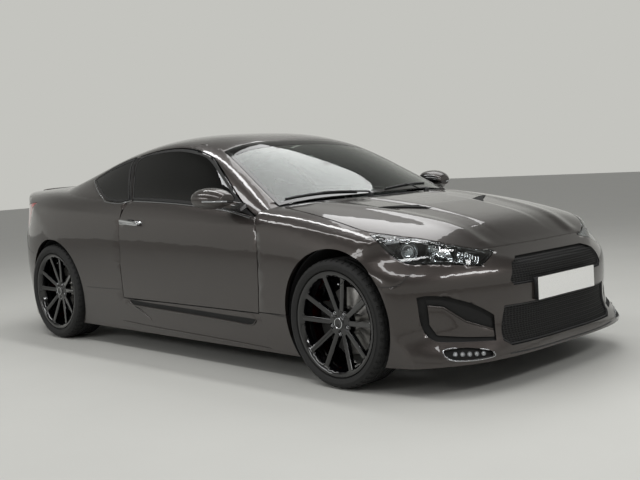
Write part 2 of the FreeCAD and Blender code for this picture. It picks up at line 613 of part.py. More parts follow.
def rim(width, lip_radius):
    """Rim with twin spokes, centred on its axle, outer side towards -Y"""
    half = width / 2 - 12
    outer = [(-half, lip_radius), (-half + 10, lip_radius), (-half + 12, RIM_SEAT_RADIUS),
             (-half + 52, RIM_SEAT_RADIUS - 4), (-half + 66, RIM_SEAT_RADIUS - 18), (half - 60, RIM_SEAT_RADIUS - 18),
             (half - 46, RIM_SEAT_RADIUS - 4), (half - 12, RIM_SEAT_RADIUS), (half - 10, lip_radius), (half, lip_radius)]
    inner = [(half, lip_radius - RIM_WALL), (half - 4, RIM_SEAT_RADIUS - RIM_WALL),
             (half - 60, RIM_SEAT_RADIUS - 18 - RIM_WALL), (-half + 66, RIM_SEAT_RADIUS - 18 - RIM_WALL),
             (-half + 4, RIM_SEAT_RADIUS - RIM_WALL), (-half, lip_radius - RIM_WALL)]
    barrel = revolved(outer + inner)
    face_y = -half + HUB_RECESS
    hub = revolved([(face_y, 0), (face_y, HUB_RADIUS - 8), (face_y + 8, HUB_RADIUS), (face_y + 46, HUB_RADIUS),
                    (face_y + 46, 0)])
    spokes = []
    for k in range(SPOKE_PAIRS * 2):
        pair, side = divmod(k, 2)
        turn = pair * 360.0 / SPOKE_PAIRS + (SPOKE_SPREAD if side else -SPOKE_SPREAD)
        reach = lip_radius - RIM_WALL / 2
        y_tip = -half + 10
        profile = [Vector(0, face_y + 4, HUB_RADIUS - 20), Vector(0, y_tip, reach),
                   Vector(0, y_tip + SPOKE_DEPTH - 8, reach - 6), Vector(0, face_y + 4 + SPOKE_DEPTH, HUB_RADIUS - 20)]
        face = Part.Face(Part.makePolygon(profile + profile[:1]))
        face.translate(Vector(-SPOKE_WIDTH / 2, 0, 0))
        spoke = face.extrude(Vector(SPOKE_WIDTH, 0, 0))
        spoke.rotate(Vector(0, 0, 0), Vector(0, 1, 0), turn)
        spokes.append(spoke)
    cap = Part.makeCylinder(BORE_RADIUS, 6, Vector(0, face_y - 6, 0), Vector(0, 1, 0))
    wheel = fuse([barrel, hub, cap] + spokes)
    lugs = [Part.makeCylinder(LUG_HOLE * 1.6, 24, lug_place(face_y - 2, k), Vector(0, 1, 0))
            for k in range(5)]
    return wheel.cut(Part.makeCompound(lugs))


def lug_place(y, k):
    turn = math.radians(36 + 72 * k)
    return Vector(LUG_CIRCLE * math.sin(turn), y, LUG_CIRCLE * math.cos(turn))


def tyre(radius, width, lip_radius):
    """Tyre with rounded shoulders and three grooves, seated on the rim"""
    half = width / 2
    seat = half - 24
    points = [(-seat, RIM_SEAT_RADIUS + 1), (-seat - 6, lip_radius - 4), (-seat + 2, lip_radius + 3),
              (-half + 2, lip_radius + 12), (-half, radius - 40), (-half + 8, radius - 14),
              (-half + 26, radius - 3), (-half + 60, radius)]
    tread = []
    for groove in (-40, 0, 40):
        tread += [(groove - 5, radius), (groove - 5, radius - 7), (groove + 5, radius - 7), (groove + 5, radius)]
    return revolved(points + tread + [(-y, r) for y, r in reversed(points)])


def disc(radius):
    hat = revolved([(0, BORE_RADIUS), (0, HUB_RADIUS + 6), (34, HUB_RADIUS + 6), (34, radius),
                    (34 + DISC_THICKNESS, radius), (34 + DISC_THICKNESS, HUB_RADIUS - 4), (8, HUB_RADIUS - 4),
                    (8, BORE_RADIUS)])
    return hat


def wheels():
    ends = (("front", FRONT_AXLE, FRONT_TYRE_RADIUS, FRONT_TYRE_WIDTH, FRONT_DISC_RADIUS),
            ("rear", REAR_AXLE, REAR_TYRE_RADIUS, REAR_TYRE_WIDTH, REAR_DISC_RADIUS))
    for end, axle, radius, width, disc_radius in ends:
        seat_y = -width / 2 + 12 + HUB_RECESS + 46
        pieces = (("rim", rim(width, RIM_LIP_RADIUS)), ("tyre", tyre(radius, width, RIM_LIP_RADIUS)),
                  ("brake_disc", disc(disc_radius)))
        for kind, shape in pieces:
            shape.translate(Vector(axle.x, -axle.y + (seat_y if kind == "brake_disc" else 0), axle.z))
            if kind == "tyre":
                shape = shape.cut(NODES["rim_" + end + "_right"])
            add(kind + "_" + end + "_right", shape)
            add(kind + "_" + end + "_left", mirror(shape))


def caliper(axle, disc_radius, width):
    """Caliper clasping the disc's rear edge"""
    disc_y = -axle.y - width / 2 + 12 + HUB_RECESS + 46 + 34
    ring = revolved([(-22, disc_radius - 62), (-22, disc_radius + 18), (DISC_THICKNESS + 26, disc_radius + 18),
                     (DISC_THICKNESS + 26, disc_radius - 62)])
    slot = revolved([(-3, 0), (-3, disc_radius + 4), (DISC_THICKNESS + 3, disc_radius + 4), (DISC_THICKNESS + 3, 0)])
    wedge = Part.makeBox(300, 200, 190, Vector(-300, -100, -95))
    body_part = ring.cut(slot).common(wedge)
    body_part.translate(Vector(axle.x, disc_y, axle.z))
    return body_part, disc_y + DISC_THICKNESS


def running_gear():
    front_caliper, front_back = caliper(FRONT_AXLE, FRONT_DISC_RADIUS, FRONT_TYRE_WIDTH)
    axle = FRONT_AXLE
    carrier_y = front_back + 8
    hub = Part.makeCylinder(52, 50, Vector(axle.x, carrier_y, axle.z), Vector(0, 1, 0))
    upright = Part.makeBox(50, 34, 330, Vector(axle.x - 25, carrier_y + 8, axle.z - 150))
    bracket = Part.makeBox(190, 22, 70, Vector(axle.x - 190, front_back + 26 - 2, axle.z - 35))
    stub = Part.makeCylinder(BORE_RADIUS - 1, 60, Vector(axle.x, carrier_y - 46, axle.z), Vector(0, 1, 0))
    steer_arm = Part.makeBox(24, 30, 26, Vector(axle.x - 49, carrier_y + 10, axle.z - 120))
    knuckle = fuse([hub, upright, bracket, stub, steer_arm, front_caliper])
    add("knuckle_right", knuckle)
    add("knuckle_left", mirror(knuckle))
    steer_y = -axle.y + STEER_AXIS_INSET
    arms = []
    pivot = Vector(axle.x, carrier_y + 25, axle.z - 150 - 8)
    for dx in (-170, 60):
        arms.append(rod(Vector(axle.x + dx, -360, axle.z - 155), pivot + Vector(0, 10, -16), 15))
    arms.append(Part.makeCylinder(20, 16, pivot + Vector(0, 0, -16)))
    arms.append(rod(Vector(axle.x, -602, axle.z - 168), Vector(axle.x, -575, axle.z + 330), 26))
    arms.append(rod(Vector(axle.x, -590, axle.z + 80), Vector(axle.x, -577, axle.z + 330), 50))
    cross = fuse([block(1290, 1560, -420, 420, 150, 215), both(block(1300, 1340, -470, -400, 150, 390)),
                  both(block(1520, 1560, -470, -400, 150, 390))])
    tower = rod(Vector(axle.x, -575, axle.z + 325), Vector(axle.x, -575, axle.z + WELL_RADIUS - 6), 60)
    add("front_subframe", fuse([cross] + [piece for arm in arms for piece in (arm, mirror(arm))]
                               + [tower, mirror(tower)]))
    rear_caliper, rear_back = caliper(REAR_AXLE, REAR_DISC_RADIUS, REAR_TYRE_WIDTH)
    axle = REAR_AXLE
    carrier = Part.makeCylinder(56, 60, Vector(axle.x, rear_back + 8, axle.z), Vector(0, 1, 0))
    stub = Part.makeCylinder(BORE_RADIUS - 1, 60, Vector(axle.x, rear_back - 36, axle.z), Vector(0, 1, 0))
    bracket = Part.makeBox(190, 22, 70, Vector(axle.x - 190, rear_back + 24, axle.z - 35))
    shaft = rod(Vector(axle.x, rear_back + 60, axle.z), Vector(axle.x, -90, axle.z), SHAFT_RADIUS)
    arms = [rod(Vector(axle.x + dx, -385, axle.z - 30), Vector(axle.x + dx / 3, rear_back + 40, axle.z - 40), 15)
            for dx in (-150, 150)]
    arms.append(rod(Vector(axle.x - 60, -590, axle.z - 60), Vector(axle.x - 60, -560, axle.z + 340), 42))
    side = [carrier, stub, bracket, shaft, rear_caliper] + arms
    frame = [block(-1560, -1500, -470, 470, 300, REAR_FLOOR_Z), block(-1260, -1200, -470, 470, 300, REAR_FLOOR_Z),
             both(block(-1560, -1200, -420, -350, 300, REAR_FLOOR_Z)),
             block(-1480, -1260, -110, 110, 215, REAR_FLOOR_Z), block(-1510, -1240, -60, 60, 300, REAR_FLOOR_Z)]
    add("rear_subframe", fuse(frame + [piece for part in side for piece in (part, mirror(part))]))
    add("engine", block(1180, 1760, -240, 240, 215, 760).cut(body_shell(0, 60)))


def soft_block(x0, x1, y0, y1, z0, z1, radius, lean=0.0):
    shape = block(x0, x1, y0, y1, z0, z1)
    shape = shape.makeFillet(radius, shape.Edges)
    if lean:
        shape.rotate(at(x1, 0, z0), Vector(0, 1, 0), lean)
    return shape


def interior():
    room = cabin(PILLAR + 6).fuse(body(PANEL)).common(block(-FAR, 935, -DOOR_INNER + 14, DOOR_INNER - 14, FLOOR_Z + SHEET, FAR))
    seats = []
    for y in (-SEAT_Y, SEAT_Y):
        cushion = soft_block(-330, 190, y - 250, y + 250, 300, 430, 45)
        cushion.rotate(at(190, 0, 300), Vector(0, 1, 0), 4)
        back = soft_block(-420, -290, y - 245, y + 245, 400, 980, 50, -20)
        head = soft_block(-585, -495, y - 130, y + 130, 985, 1130, 35, -12)
        neck = rod(at(-480, y, 930), at(-535, y, 1010), 30)
        rails = block(-300, 150, y - 200, y + 200, FLOOR_Z + SHEET, 330)
        seats.append(fuse([cushion, back, head, neck, rails]))
    tunnel_zone = block(-FAR, FAR, -TUNNEL_HALF, TUNNEL_HALF, 0, TUNNEL_TOP)
    add("front_seats", Part.makeCompound(seats).common(room).cut(tunnel_zone))
    bench = soft_block(-1000, -640, -560, 560, 300, 460, 50)
    rear_back = soft_block(-985, -880, -555, 555, 420, 930, 45)
    base = block(-975, -680, -540, 540, FLOOR_Z + SHEET, 330)
    rear_seat = fuse([bench, rear_back, base]).cut(block(-FAR, FAR, -150, 150, 0, 330))
    add("rear_seat", rear_seat.common(block(-980, FAR, -FAR, FAR, 0, FAR)))
    section = [(935, 560), (935, 842), (700, 878), (560, 862), (505, 800), (520, 700), (620, 560)]
    face = outline("side", section[0], *[[p] for p in section[1:]])
    dash = prism("side", face, -across(765), across(765)).common(room)
    console = block(-330, 640, -120, 120, TUNNEL_TOP, 480).fuse(block(60, 640, -120, 120, 470, 600))
    centre = at(430, SEAT_Y, 790)
    bore = rod(centre, centre + Vector(120, 0, -43), COLUMN_RADIUS + COLUMN_CLEARANCE)
    add("dashboard", fuse([dash, console.common(room)]).cut(bore).cut(NODES["underbody"]))
    wheel = Part.makeTorus(185, 15, centre, Vector(-0.94, 0, 0.34))
    hub = rod(centre + Vector(-14, 0, 5), centre + Vector(30, 0, -11), 62)
    spokes = [rod(centre, centre + Vector(0, dy, 0), 13) for dy in (-180, 180)]
    spokes.append(rod(centre, centre + Vector(-61, 0, -170), 13))
    column = rod(centre + Vector(20, 0, -7), centre + Vector(113, 0, -40.7), COLUMN_RADIUS)
    add("steering_wheel", fuse([wheel, hub, column] + spokes))


def wipers():
    """Two blades that lie on the foot of the windscreen, each on an arm from its pivot in the cowl"""
    layer = cabin(-16.0).cut(cabin(-1.0))
    hood = plan_band(HOOD, SHUT_GAP)
    pieces = []
    for start, end, pivot in WIPERS:
        blade = strip(start, end, 12)
        middle = ((start[0] + end[0]) / 2, (start[1] + end[1]) / 2)
        arm = strip(middle, pivot, 16)
        pieces.append(layer.common(plan_band(blade).fuse(plan_band(arm))).cut(NODES["cowl"]).cut(hood))
    add("wipers", Part.makeCompound(pieces))


def strip(start, end, width):
    """Narrow plan rectangle between two points"""
    dx = end[0] - start[0]
    dy = end[1] - start[1]
    half = width / 2 / math.hypot(dx, dy)
    corners = [(start[0] - dy * half, start[1] + dx * half), (end[0] - dy * half, end[1] + dx * half),
               (end[0] + dy * half, end[1] - dx * half), (start[0] + dy * half, start[1] - dx * half)]
    return outline("plan", corners[0], *[[p] for p in corners[1:]])


def plates():
    """Blank number plates, each backed by a holder that reaches its bumper"""
    skin = body()
    front = block(2150, 2228, -260, 260, 412, 522).cut(skin)
    rear = block(-2420, -2300, -260, 260, 580, 690).cut(skin).common(block(-2355, 0, -260, 260, 580, 690))
    add("plates", Part.makeCompound(front.Solids + rear.Solids))


def exhaust():
    pipes = [rod(at(-1250, y, 235), at(-2290, y, 235), 30) for y in (-360, 360)]
    pipes.append(rod(at(-1100, 0, 200), at(-1250, -360, 235), 30))
    pipes.append(rod(at(-1100, 0, 200), at(-1250, 360, 235), 30))
    boxes = [block(-2180, -1900, y - 110, y + 110, 175, 320) for y in (-360, 360)]
    front = rod(at(1150, 0, 200), at(-1100, 0, 200), 34)
    tips = []
    for y in (-430, -320, 320, 430):
        tip = rod(at(-2160, y, 235), at(-2350, y, 235), 44)
        tips.append(tip.cut(rod(at(-2280, y, 235), at(-2400, y, 235), 40)))
    return fuse(pipes + boxes + tips + [front])


def fixed_panels():
    shell = body_shell(0.0, PANEL)
    arch = arches(0.0, DOOR_INNER)
    door = side_band(DOOR_FACE, SHUT_GAP)
    hood = plan_band(HOOD, SHUT_GAP)
    cowl = plan_band(COWL)
    headlamp = corner_band(HEADLAMP, SEAM)
    outside = shell.cut(Part.makeCompound([cabin()]))
    front = outside.cut(Part.makeCompound([arch, door, hood, cowl, headlamp]))
    bumper_zone = side_band(FRONT_BUMPER)
    skirt_zone = side_band(SKIRT)
    fender = front.common(side_band(FENDER))
    add("front_fenders", fender)
    bumper = front.common(bumper_zone)
    grille_holes = [front_band(UPPER_GRILLE), front_band(LOWER_GRILLE), corner_band(INTAKE),
                    corner_band(LIP_LAMP)]
    bumper = bumper.cut(Part.makeCompound(grille_holes))
    add("front_bumper", bumper)
    add("side_skirts", shell.cut(Part.makeCompound([arch, door])).common(skirt_zone))
    trunk = plan_band(TRUNK, SHUT_GAP).common(rear_band(TRUNK_REAR, SHUT_GAP))
    lamp = side_band(grown(TAIL_LAMP, SEAM)).cut(block(-FAR, FAR, -432, 432, 0, FAR))
    rear = outside.common(block(-FAR, -490, -FAR, FAR, 0, FAR))
    rear = rear.cut(Part.makeCompound([arch, door, trunk, lamp]))
    rear_zone = side_band(REAR_BUMPER)
    tips = both(block(-FAR, -2100, -485, -265, 182, 288))
    add("rear_bumper", rear.common(rear_zone).cut(tips))
    quarter = rear.cut(Part.makeCompound([rear_zone, skirt_zone, side_band(QUARTER_GLASS, SEAM)]))
    return quarter


def cabin_frames(quarter):
    layer = cabin(0.0).cut(cabin(PILLAR)).cut(body(PANEL))
    through = [side_band(SIDE_GLASS, GLASS_GAP), side_band(DOOR_FACE, SHUT_GAP),
               plan_band(grown(WINDSCREEN, -LID_SKIN * 2)), plan_band(grown(BACKLIGHT, -LID_SKIN * 2)),
               side_band(grown(QUARTER_GLASS, -LID_SKIN * 2))]
    rebates = Part.makeCompound([plan_band(WINDSCREEN, SEAM), plan_band(BACKLIGHT, SEAM),
                                 side_band(QUARTER_GLASS, SEAM)]).cut(cabin(GLASS))
    layer = layer.cut(Part.makeCompound(through)).cut(rebates)
    roof_zone = plan_band(ROOF)
    add("roof", layer.common(roof_zone))
    frames = layer.cut(roof_zone).cut(plan_band(COWL))
    add("side_frames", fuse([frames, quarter]))


def glazing():
    pane = cabin(0.0).cut(cabin(GLASS))
    add("windscreen", pane.common(plan_band(WINDSCREEN)))
    add("rear_window", pane.common(plan_band(BACKLIGHT)))
    add("quarter_glass", pane.common(side_band(QUARTER_GLASS)))
    sides = pane.common(side_band(SIDE_GLASS))
    add("door_glass_right", sides.common(block(-FAR, FAR, -FAR, 0, 0, FAR)))
    add("door_glass_left", sides.common(block(-FAR, FAR, 0, FAR, 0, FAR)))


fixed = fixed_panels()
cabin_frames(fixed)
glazing()
lids()
doors()
door_mirrors()
lamps()
grilles()
cowl()
underbody()
wheels()
running_gear()
interior()
wipers()
plates()
add("exhaust", exhaust())
os.makedirs("parts", exist_ok=True)
for name, shape in NODES.items():
    shape.exportStep("parts/" + name + ".step")
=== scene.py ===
import json
import math
import bmesh
import bpy
from mathutils import Euler, Matrix, Vector
from mathutils.bvhtree import BVHTree

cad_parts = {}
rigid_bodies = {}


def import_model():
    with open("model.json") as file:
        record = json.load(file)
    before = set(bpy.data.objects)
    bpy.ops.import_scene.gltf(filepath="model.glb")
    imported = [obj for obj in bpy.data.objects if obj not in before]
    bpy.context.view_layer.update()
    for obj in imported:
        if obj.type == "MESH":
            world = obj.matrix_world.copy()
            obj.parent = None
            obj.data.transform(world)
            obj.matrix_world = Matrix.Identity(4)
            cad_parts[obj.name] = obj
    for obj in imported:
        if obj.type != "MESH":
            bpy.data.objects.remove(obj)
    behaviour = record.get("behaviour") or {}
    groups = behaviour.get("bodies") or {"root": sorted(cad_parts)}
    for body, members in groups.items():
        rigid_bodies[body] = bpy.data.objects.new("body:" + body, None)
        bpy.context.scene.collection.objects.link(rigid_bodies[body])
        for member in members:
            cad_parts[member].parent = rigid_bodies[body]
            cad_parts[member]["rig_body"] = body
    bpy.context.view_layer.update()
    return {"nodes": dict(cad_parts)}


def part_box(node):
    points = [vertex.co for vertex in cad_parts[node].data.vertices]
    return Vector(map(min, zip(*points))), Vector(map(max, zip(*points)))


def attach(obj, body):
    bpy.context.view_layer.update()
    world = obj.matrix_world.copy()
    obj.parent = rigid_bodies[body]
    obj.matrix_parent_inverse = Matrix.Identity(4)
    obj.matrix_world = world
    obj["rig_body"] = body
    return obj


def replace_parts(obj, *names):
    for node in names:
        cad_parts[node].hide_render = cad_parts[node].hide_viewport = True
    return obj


bl_info = {
    "name": "Two-door sports coupe",
    "version": (1, 0, 0),
    "blender": (4, 5, 0),
    "location": "View3D > Sidebar > Coupe",
    "description": "Dresses the coupe's panels, wheels, lamps, glass and cabin",
    "category": "Add Mesh",
}

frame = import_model()

# The outlines are drawn in millimetres, from a point between the axles this far ahead of the frame's origin
DRAWING_OFFSET = 63.5
MM = 0.001
RIGHT = ("right", -1)
LEFT = ("left", 1)
# Profiles of turned pieces start and end at this radius, next to their axis
CORE = 0.0001
# Corners of CAD triangles closer than this are one
MERGED = 0.00002
# Front axle, and the height of the wheel centres
FRONT_AXLE, WHEEL_HEIGHT = 1.5125, 0.334
SEAT_Y = 0.37
# Grain of the seat pads' meshes and frames of their simulation
PAD_VOXEL, PAD_FRAMES = 0.009, 14


def linear(code):
    """Linear colour of an sRGB hex code"""
    values = [int(code[i:i + 2], 16) / 255 for i in (0, 2, 4)]
    return [v / 12.92 if v <= 0.04045 else ((v + 0.055) / 1.055) ** 2.4 for v in values]


def colour_setting(name, description, code):
    return bpy.props.FloatVectorProperty(name=name, description=description, default=linear(code), size=3,
                                         min=0.0, max=1.0, subtype="COLOR")


def length_setting(name, description, default):
    return bpy.props.FloatProperty(name=name, description=description, default=default, min=0.0001,
                                   subtype="DISTANCE", unit="LENGTH")


class PaintSettings(bpy.types.PropertyGroup):
    """Body colour and its flakes"""
    colour: colour_setting("Colour", "Basecoat of the body panels", "443E3B")
    shade: colour_setting("Flake shade", "Darker tone between the metal flakes", "322D2B")
    flake: length_setting("Flake", "Spacing of the metal flakes, drawn coarse enough to show", 0.0016)
    calipers: colour_setting("Calipers", "Enamel of the brake calipers", "A8201C")


class GlassSettings(bpy.types.PropertyGroup):
    """Tint of the windows and lenses"""
    windscreen: colour_setting("Windscreen", "Light green tint of the windscreen", "C8D2CC")
    side: colour_setting("Side windows", "Dark film of the side and rear windows", "202426")
    tail: colour_setting("Tail lens", "Red of the tail lamps", "D8141E")


class WheelSettings(bpy.types.PropertyGroup):
    """Sizes on the wheels"""
    tread_pitch: bpy.props.IntProperty(name="Tread blocks", description="Blocks round one shoulder rib",
                                       default=52, min=20, max=90)
    groove: length_setting("Groove depth", "Depth of the tread grooves", 0.006)
    nut: length_setting("Lug nut", "Width across the corners of a lug nut", 0.021)
    rubber: colour_setting("Rubber", "Colour of the tyres", "0E0E0E")
    enamel: colour_setting("Rim", "Gloss black of the rims", "050507")


class TrimSettings(bpy.types.PropertyGroup):
    """Sizes and colours of the trim"""
    belt_width: length_setting("Belt strip", "Width of the bright strip under the side window", 0.011)
    seal_width: length_setting("Seal", "Width of the black frame round the side window", 0.016)
    mesh_step: length_setting("Mesh step", "Spacing of the grille mesh", 0.019)
    mesh_wire: length_setting("Mesh wire", "Width of one bar of the grille mesh", 0.0034)
    plastic: colour_setting("Black plastic", "Grained plastic of cowl, wipers and grille frames", "1B1B1D")


class CabinSettings(bpy.types.PropertyGroup):
    """Colours of the cabin"""
    leather: colour_setting("Leather", "Seat leather", "24211F")
    dashboard: colour_setting("Dashboard", "Moulded skin of the dashboard", "262628")
    lining: colour_setting("Lining", "Woven lining of the roof and pillars", "A8A49C")
    pressure: bpy.props.FloatProperty(name="Filling", description="Air pressure that swells the seat pads",
                                      default=4.0, min=0.5, max=10.0)


class StageSettings(bpy.types.PropertyGroup):
    """Floor and lamps round the car"""
    floor: colour_setting("Floor", "Pale floor and backdrop", "C4C4BF")
    key: bpy.props.FloatProperty(name="Key lamp", description="Power of the ceiling panel", default=120.0,
                                 min=0.0, unit="POWER")
    fill: bpy.props.FloatProperty(name="Fill lamps", description="Power of each strip lamp", default=92.0,
                                  min=0.0, unit="POWER")
    sky: bpy.props.FloatProperty(name="Room light", description="Strength of the even light of the room",
                                 default=0.30, min=0.0)
    ceiling: bpy.props.FloatProperty(name="Ceiling tone", description="Share of the floor's tone that the ceiling has",
                                     default=0.25, min=0.0, max=1.0)


# Materials ---


def add_node(tree, kind, inputs=None, **settings):
    """Node of this kind with its settings. Each input takes a value, or the socket that feeds it."""
    made = tree.nodes.new(kind)
    for name, value in settings.items():
        setattr(made, name, value)
    for name, value in (inputs or {}).items():
        if isinstance(value, bpy.types.NodeSocket):
            tree.links.new(value, made.inputs[name])
        else:
            made.inputs[name].default_value = value
    return made


def begin(name):
    """Empty node material with its tree and Object coordinates"""
    material = bpy.data.materials.new(name)
    material.use_nodes = True
    material.node_tree.nodes.clear()
    place = add_node(material.node_tree, "ShaderNodeTexCoord").outputs["Object"]
    return material, material.node_tree, place


def end(tree, inputs):
    shader = add_node(tree, "ShaderNodeBsdfPrincipled", inputs)
    add_node(tree, "ShaderNodeOutputMaterial", {"Surface": shader.outputs["BSDF"]})


def two_tones(tree, factor, first, second):
    """Colour between two tones"""
    inputs = {"Factor": factor, 6: (*first, 1), 7: (*second, 1)}
    return add_node(tree, "ShaderNodeMix", inputs, data_type="RGBA").outputs[2]


def blotched(tree, place, grain, first, second, detail=3.0):
    """Colour that wanders between two tones over spots of this size in metres"""
    noise = add_node(tree, "ShaderNodeTexNoise", {"Vector": place, "Scale": 1 / grain, "Detail": detail})
    return two_tones(tree, noise.outputs["Fac"], first, second)


def relief(tree, pattern, height, strength):
    """Surface relief of this height in metres, drawn by a pattern"""
    inputs = {"Height": pattern, "Distance": height, "Strength": strength}
    return add_node(tree, "ShaderNodeBump", inputs).outputs["Normal"]


def grained(tree, place, grain, height, strength=0.5):
    """Surface relief of this grain and height in metres"""
    noise = add_node(tree, "ShaderNodeTexNoise", {"Vector": place, "Scale": 1 / grain, "Detail": 2.0})
    return relief(tree, noise.outputs["Fac"], height, strength)


def cells(tree, place, size, crease):
    """Pattern of cells of this size in metres: 1 inside, falling to 0 over the crease between them"""
    edges = add_node(tree, "ShaderNodeTexVoronoi", {"Vector": place, "Scale": 1 / size}, feature="DISTANCE_TO_EDGE")
    return add_node(tree, "ShaderNodeMapRange",
                    {"Value": edges.outputs["Distance"], "From Max": crease}).outputs["Result"]


def darker(colour, share):
    return [value * share for value in colour]


def clearcoated_metallic_paint(tree, place, colour, shade, flake):
    # Basecoat with aluminium flakes under a clear coat: a dull metal sheen below, sharp reflections on top
    flakes = add_node(tree, "ShaderNodeTexVoronoi", {"Vector": place, "Scale": 1 / flake})
    end(tree, {"Base Color": two_tones(tree, flakes.outputs["Distance"], colour, shade), "Metallic": 0.72,
               "Roughness": 0.36, "Coat Weight": 1.0, "Coat Roughness": 0.02, "Coat IOR": 1.5})


def gloss_enamel(tree, place, colour, roughness=0.16):
    # Solid enamel: deep even colour, mirror-like top with a trace of orange peel 3 mm wide
    end(tree, {"Base Color": blotched(tree, place, 0.02, colour, darker(colour, 0.85)), "Roughness": roughness,
               "Normal": grained(tree, place, 0.003, 0.00002), "Coat Weight": 0.6, "Coat Roughness": 0.04})


def grained_abs(tree, place, colour, roughness=0.52, grain=0.0014):
    # Injection-moulded ABS with a leather-like grain, 1.4 mm wide unless given: soft highlights, slightly grey
    end(tree, {"Base Color": blotched(tree, place, 0.03, colour, darker(colour, 1.25)), "Roughness": roughness,
               "IOR": 1.53, "Normal": grained(tree, place, grain, 0.00012)})


def vulcanised_rubber(tree, place, colour):
    # Tyre and seal rubber: matt, dusty in patches, finely pitted by the mould
    end(tree, {"Base Color": blotched(tree, place, 0.045, colour, darker(colour, 1.6)), "Roughness": 0.72,
               "IOR": 1.52, "Normal": grained(tree, place, 0.0025, 0.0002)})


def float_glass(tree, place, colour):
    # Tinted float glass: clean reflections, and the tint takes light away on the way through
    end(tree, {"Base Color": blotched(tree, place, 0.4, colour, darker(colour, 0.94)), "Roughness": 0.0,
               "IOR": 1.5, "Transmission Weight": 1.0})


def bright_plate(tree, place, colour, roughness):
    # Chromium over nickel, or silvered glass: bright neutral mirror with faint polishing haze
    end(tree, {"Base Color": blotched(tree, place, 0.01, colour, darker(colour, 0.9)), "Metallic": 1.0,
               "Roughness": roughness})


def turned_iron(tree, place):
    # Brake disc of machined cast iron: fine grit about 1.5 mm wide, dull grey with darker patches
    grit = add_node(tree, "ShaderNodeTexNoise", {"Vector": place, "Scale": 1 / 0.0015, "Detail": 1.0})
    end(tree, {"Base Color": blotched(tree, place, 0.02, linear("8C8B89"), linear("6A6865")), "Metallic": 1.0,
               "Roughness": 0.34, "Normal": relief(tree, grit.outputs["Fac"], 0.0001, 0.4)})


def stone_guard(tree, place, colour):
    # Sprayed PVC stone guard: rubbery black coat with pebbled relief 6 mm wide and road dust in it
    end(tree, {"Base Color": blotched(tree, place, 0.12, colour, darker(colour, 1.7), 6.0), "Roughness": 0.78,
               "Normal": grained(tree, place, 0.006, 0.0008, 0.8)})


def cast_metal(tree, place, colour):
    # Sand-cast alloy or iron: grey skin with 1.5 mm grit and darker oil stains
    end(tree, {"Base Color": blotched(tree, place, 0.06, colour, darker(colour, 0.6), 5.0), "Metallic": 0.85,
               "Roughness": 0.5, "Normal": grained(tree, place, 0.0015, 0.0003)})


def brushed_stainless(tree, place):
    # Drawn stainless tube: brushed along its length, heat-tinted a little
    stretched = add_node(tree, "ShaderNodeMapping", {"Vector": place, "Scale": (0.04, 1, 1)})
    lines = add_node(tree, "ShaderNodeTexNoise", {"Vector": stretched.outputs["Vector"], "Scale": 1 / 0.0012})
    end(tree, {"Base Color": blotched(tree, place, 0.2, linear("B8B2A8"), linear("9C948A")), "Metallic": 1.0,
               "Roughness": 0.24, "Normal": relief(tree, lines.outputs["Fac"], 0.0001, 0.3)})


def seat_leather(tree, place, colour):
    # Pigmented cow hide: pebbled cells 2.2 mm wide and a satin top; the creases between the cells are darkened as
    # painted shade
    hide = cells(tree, place, 0.0022, 0.12)
    end(tree, {"Base Color": two_tones(tree, hide, darker(colour, 0.55), colour), "Roughness": 0.42,
               "Normal": relief(tree, hide, 0.0002, 0.6)})


def woven_lining(tree, place, colour, pitch=0.0025):
    # Knitted polyester: loops 2.5 mm apart unless given, matt with a little sheen; the colour darkens in the hollows of
    # the weave as painted shade
    weave = add_node(tree, "ShaderNodeTexWave", {"Vector": place, "Scale": 0.16 / pitch, "Distortion": 1.5,
                                                 "Detail Scale": 2.0}, bands_direction="DIAGONAL").outputs["Fac"]
    end(tree, {"Base Color": two_tones(tree, weave, darker(colour, 0.75), colour), "Roughness": 0.9,
               "Sheen Weight": 0.3, "Normal": relief(tree, weave, 0.0004, 0.5)})


def reflective_sheet(tree, place, colour):
    # Retro-reflective film on the number plate: chalk white with a honeycomb of 4 mm cells
    seams = cells(tree, place, 0.004, 0.05)
    end(tree, {"Base Color": two_tones(tree, seams, darker(colour, 0.82), colour), "Roughness": 0.35,
               "Coat Weight": 0.3})


def ribbed_lens(tree, place, colour):
    # Acrylic lamp lens with fine optic ribs 6 mm apart on its inner side
    ribs = add_node(tree, "ShaderNodeTexWave", {"Vector": place, "Scale": 0.16 / 0.006}, bands_direction="Z")
    end(tree, {"Base Color": blotched(tree, place, 0.05, colour, darker(colour, 0.8)), "Roughness": 0.08,
               "IOR": 1.49, "Transmission Weight": 0.55, "Coat Weight": 1.0, "Coat Roughness": 0.02,
               "Normal": relief(tree, ribs.outputs["Fac"], 0.0006, 0.5)})


FINISHES = {}


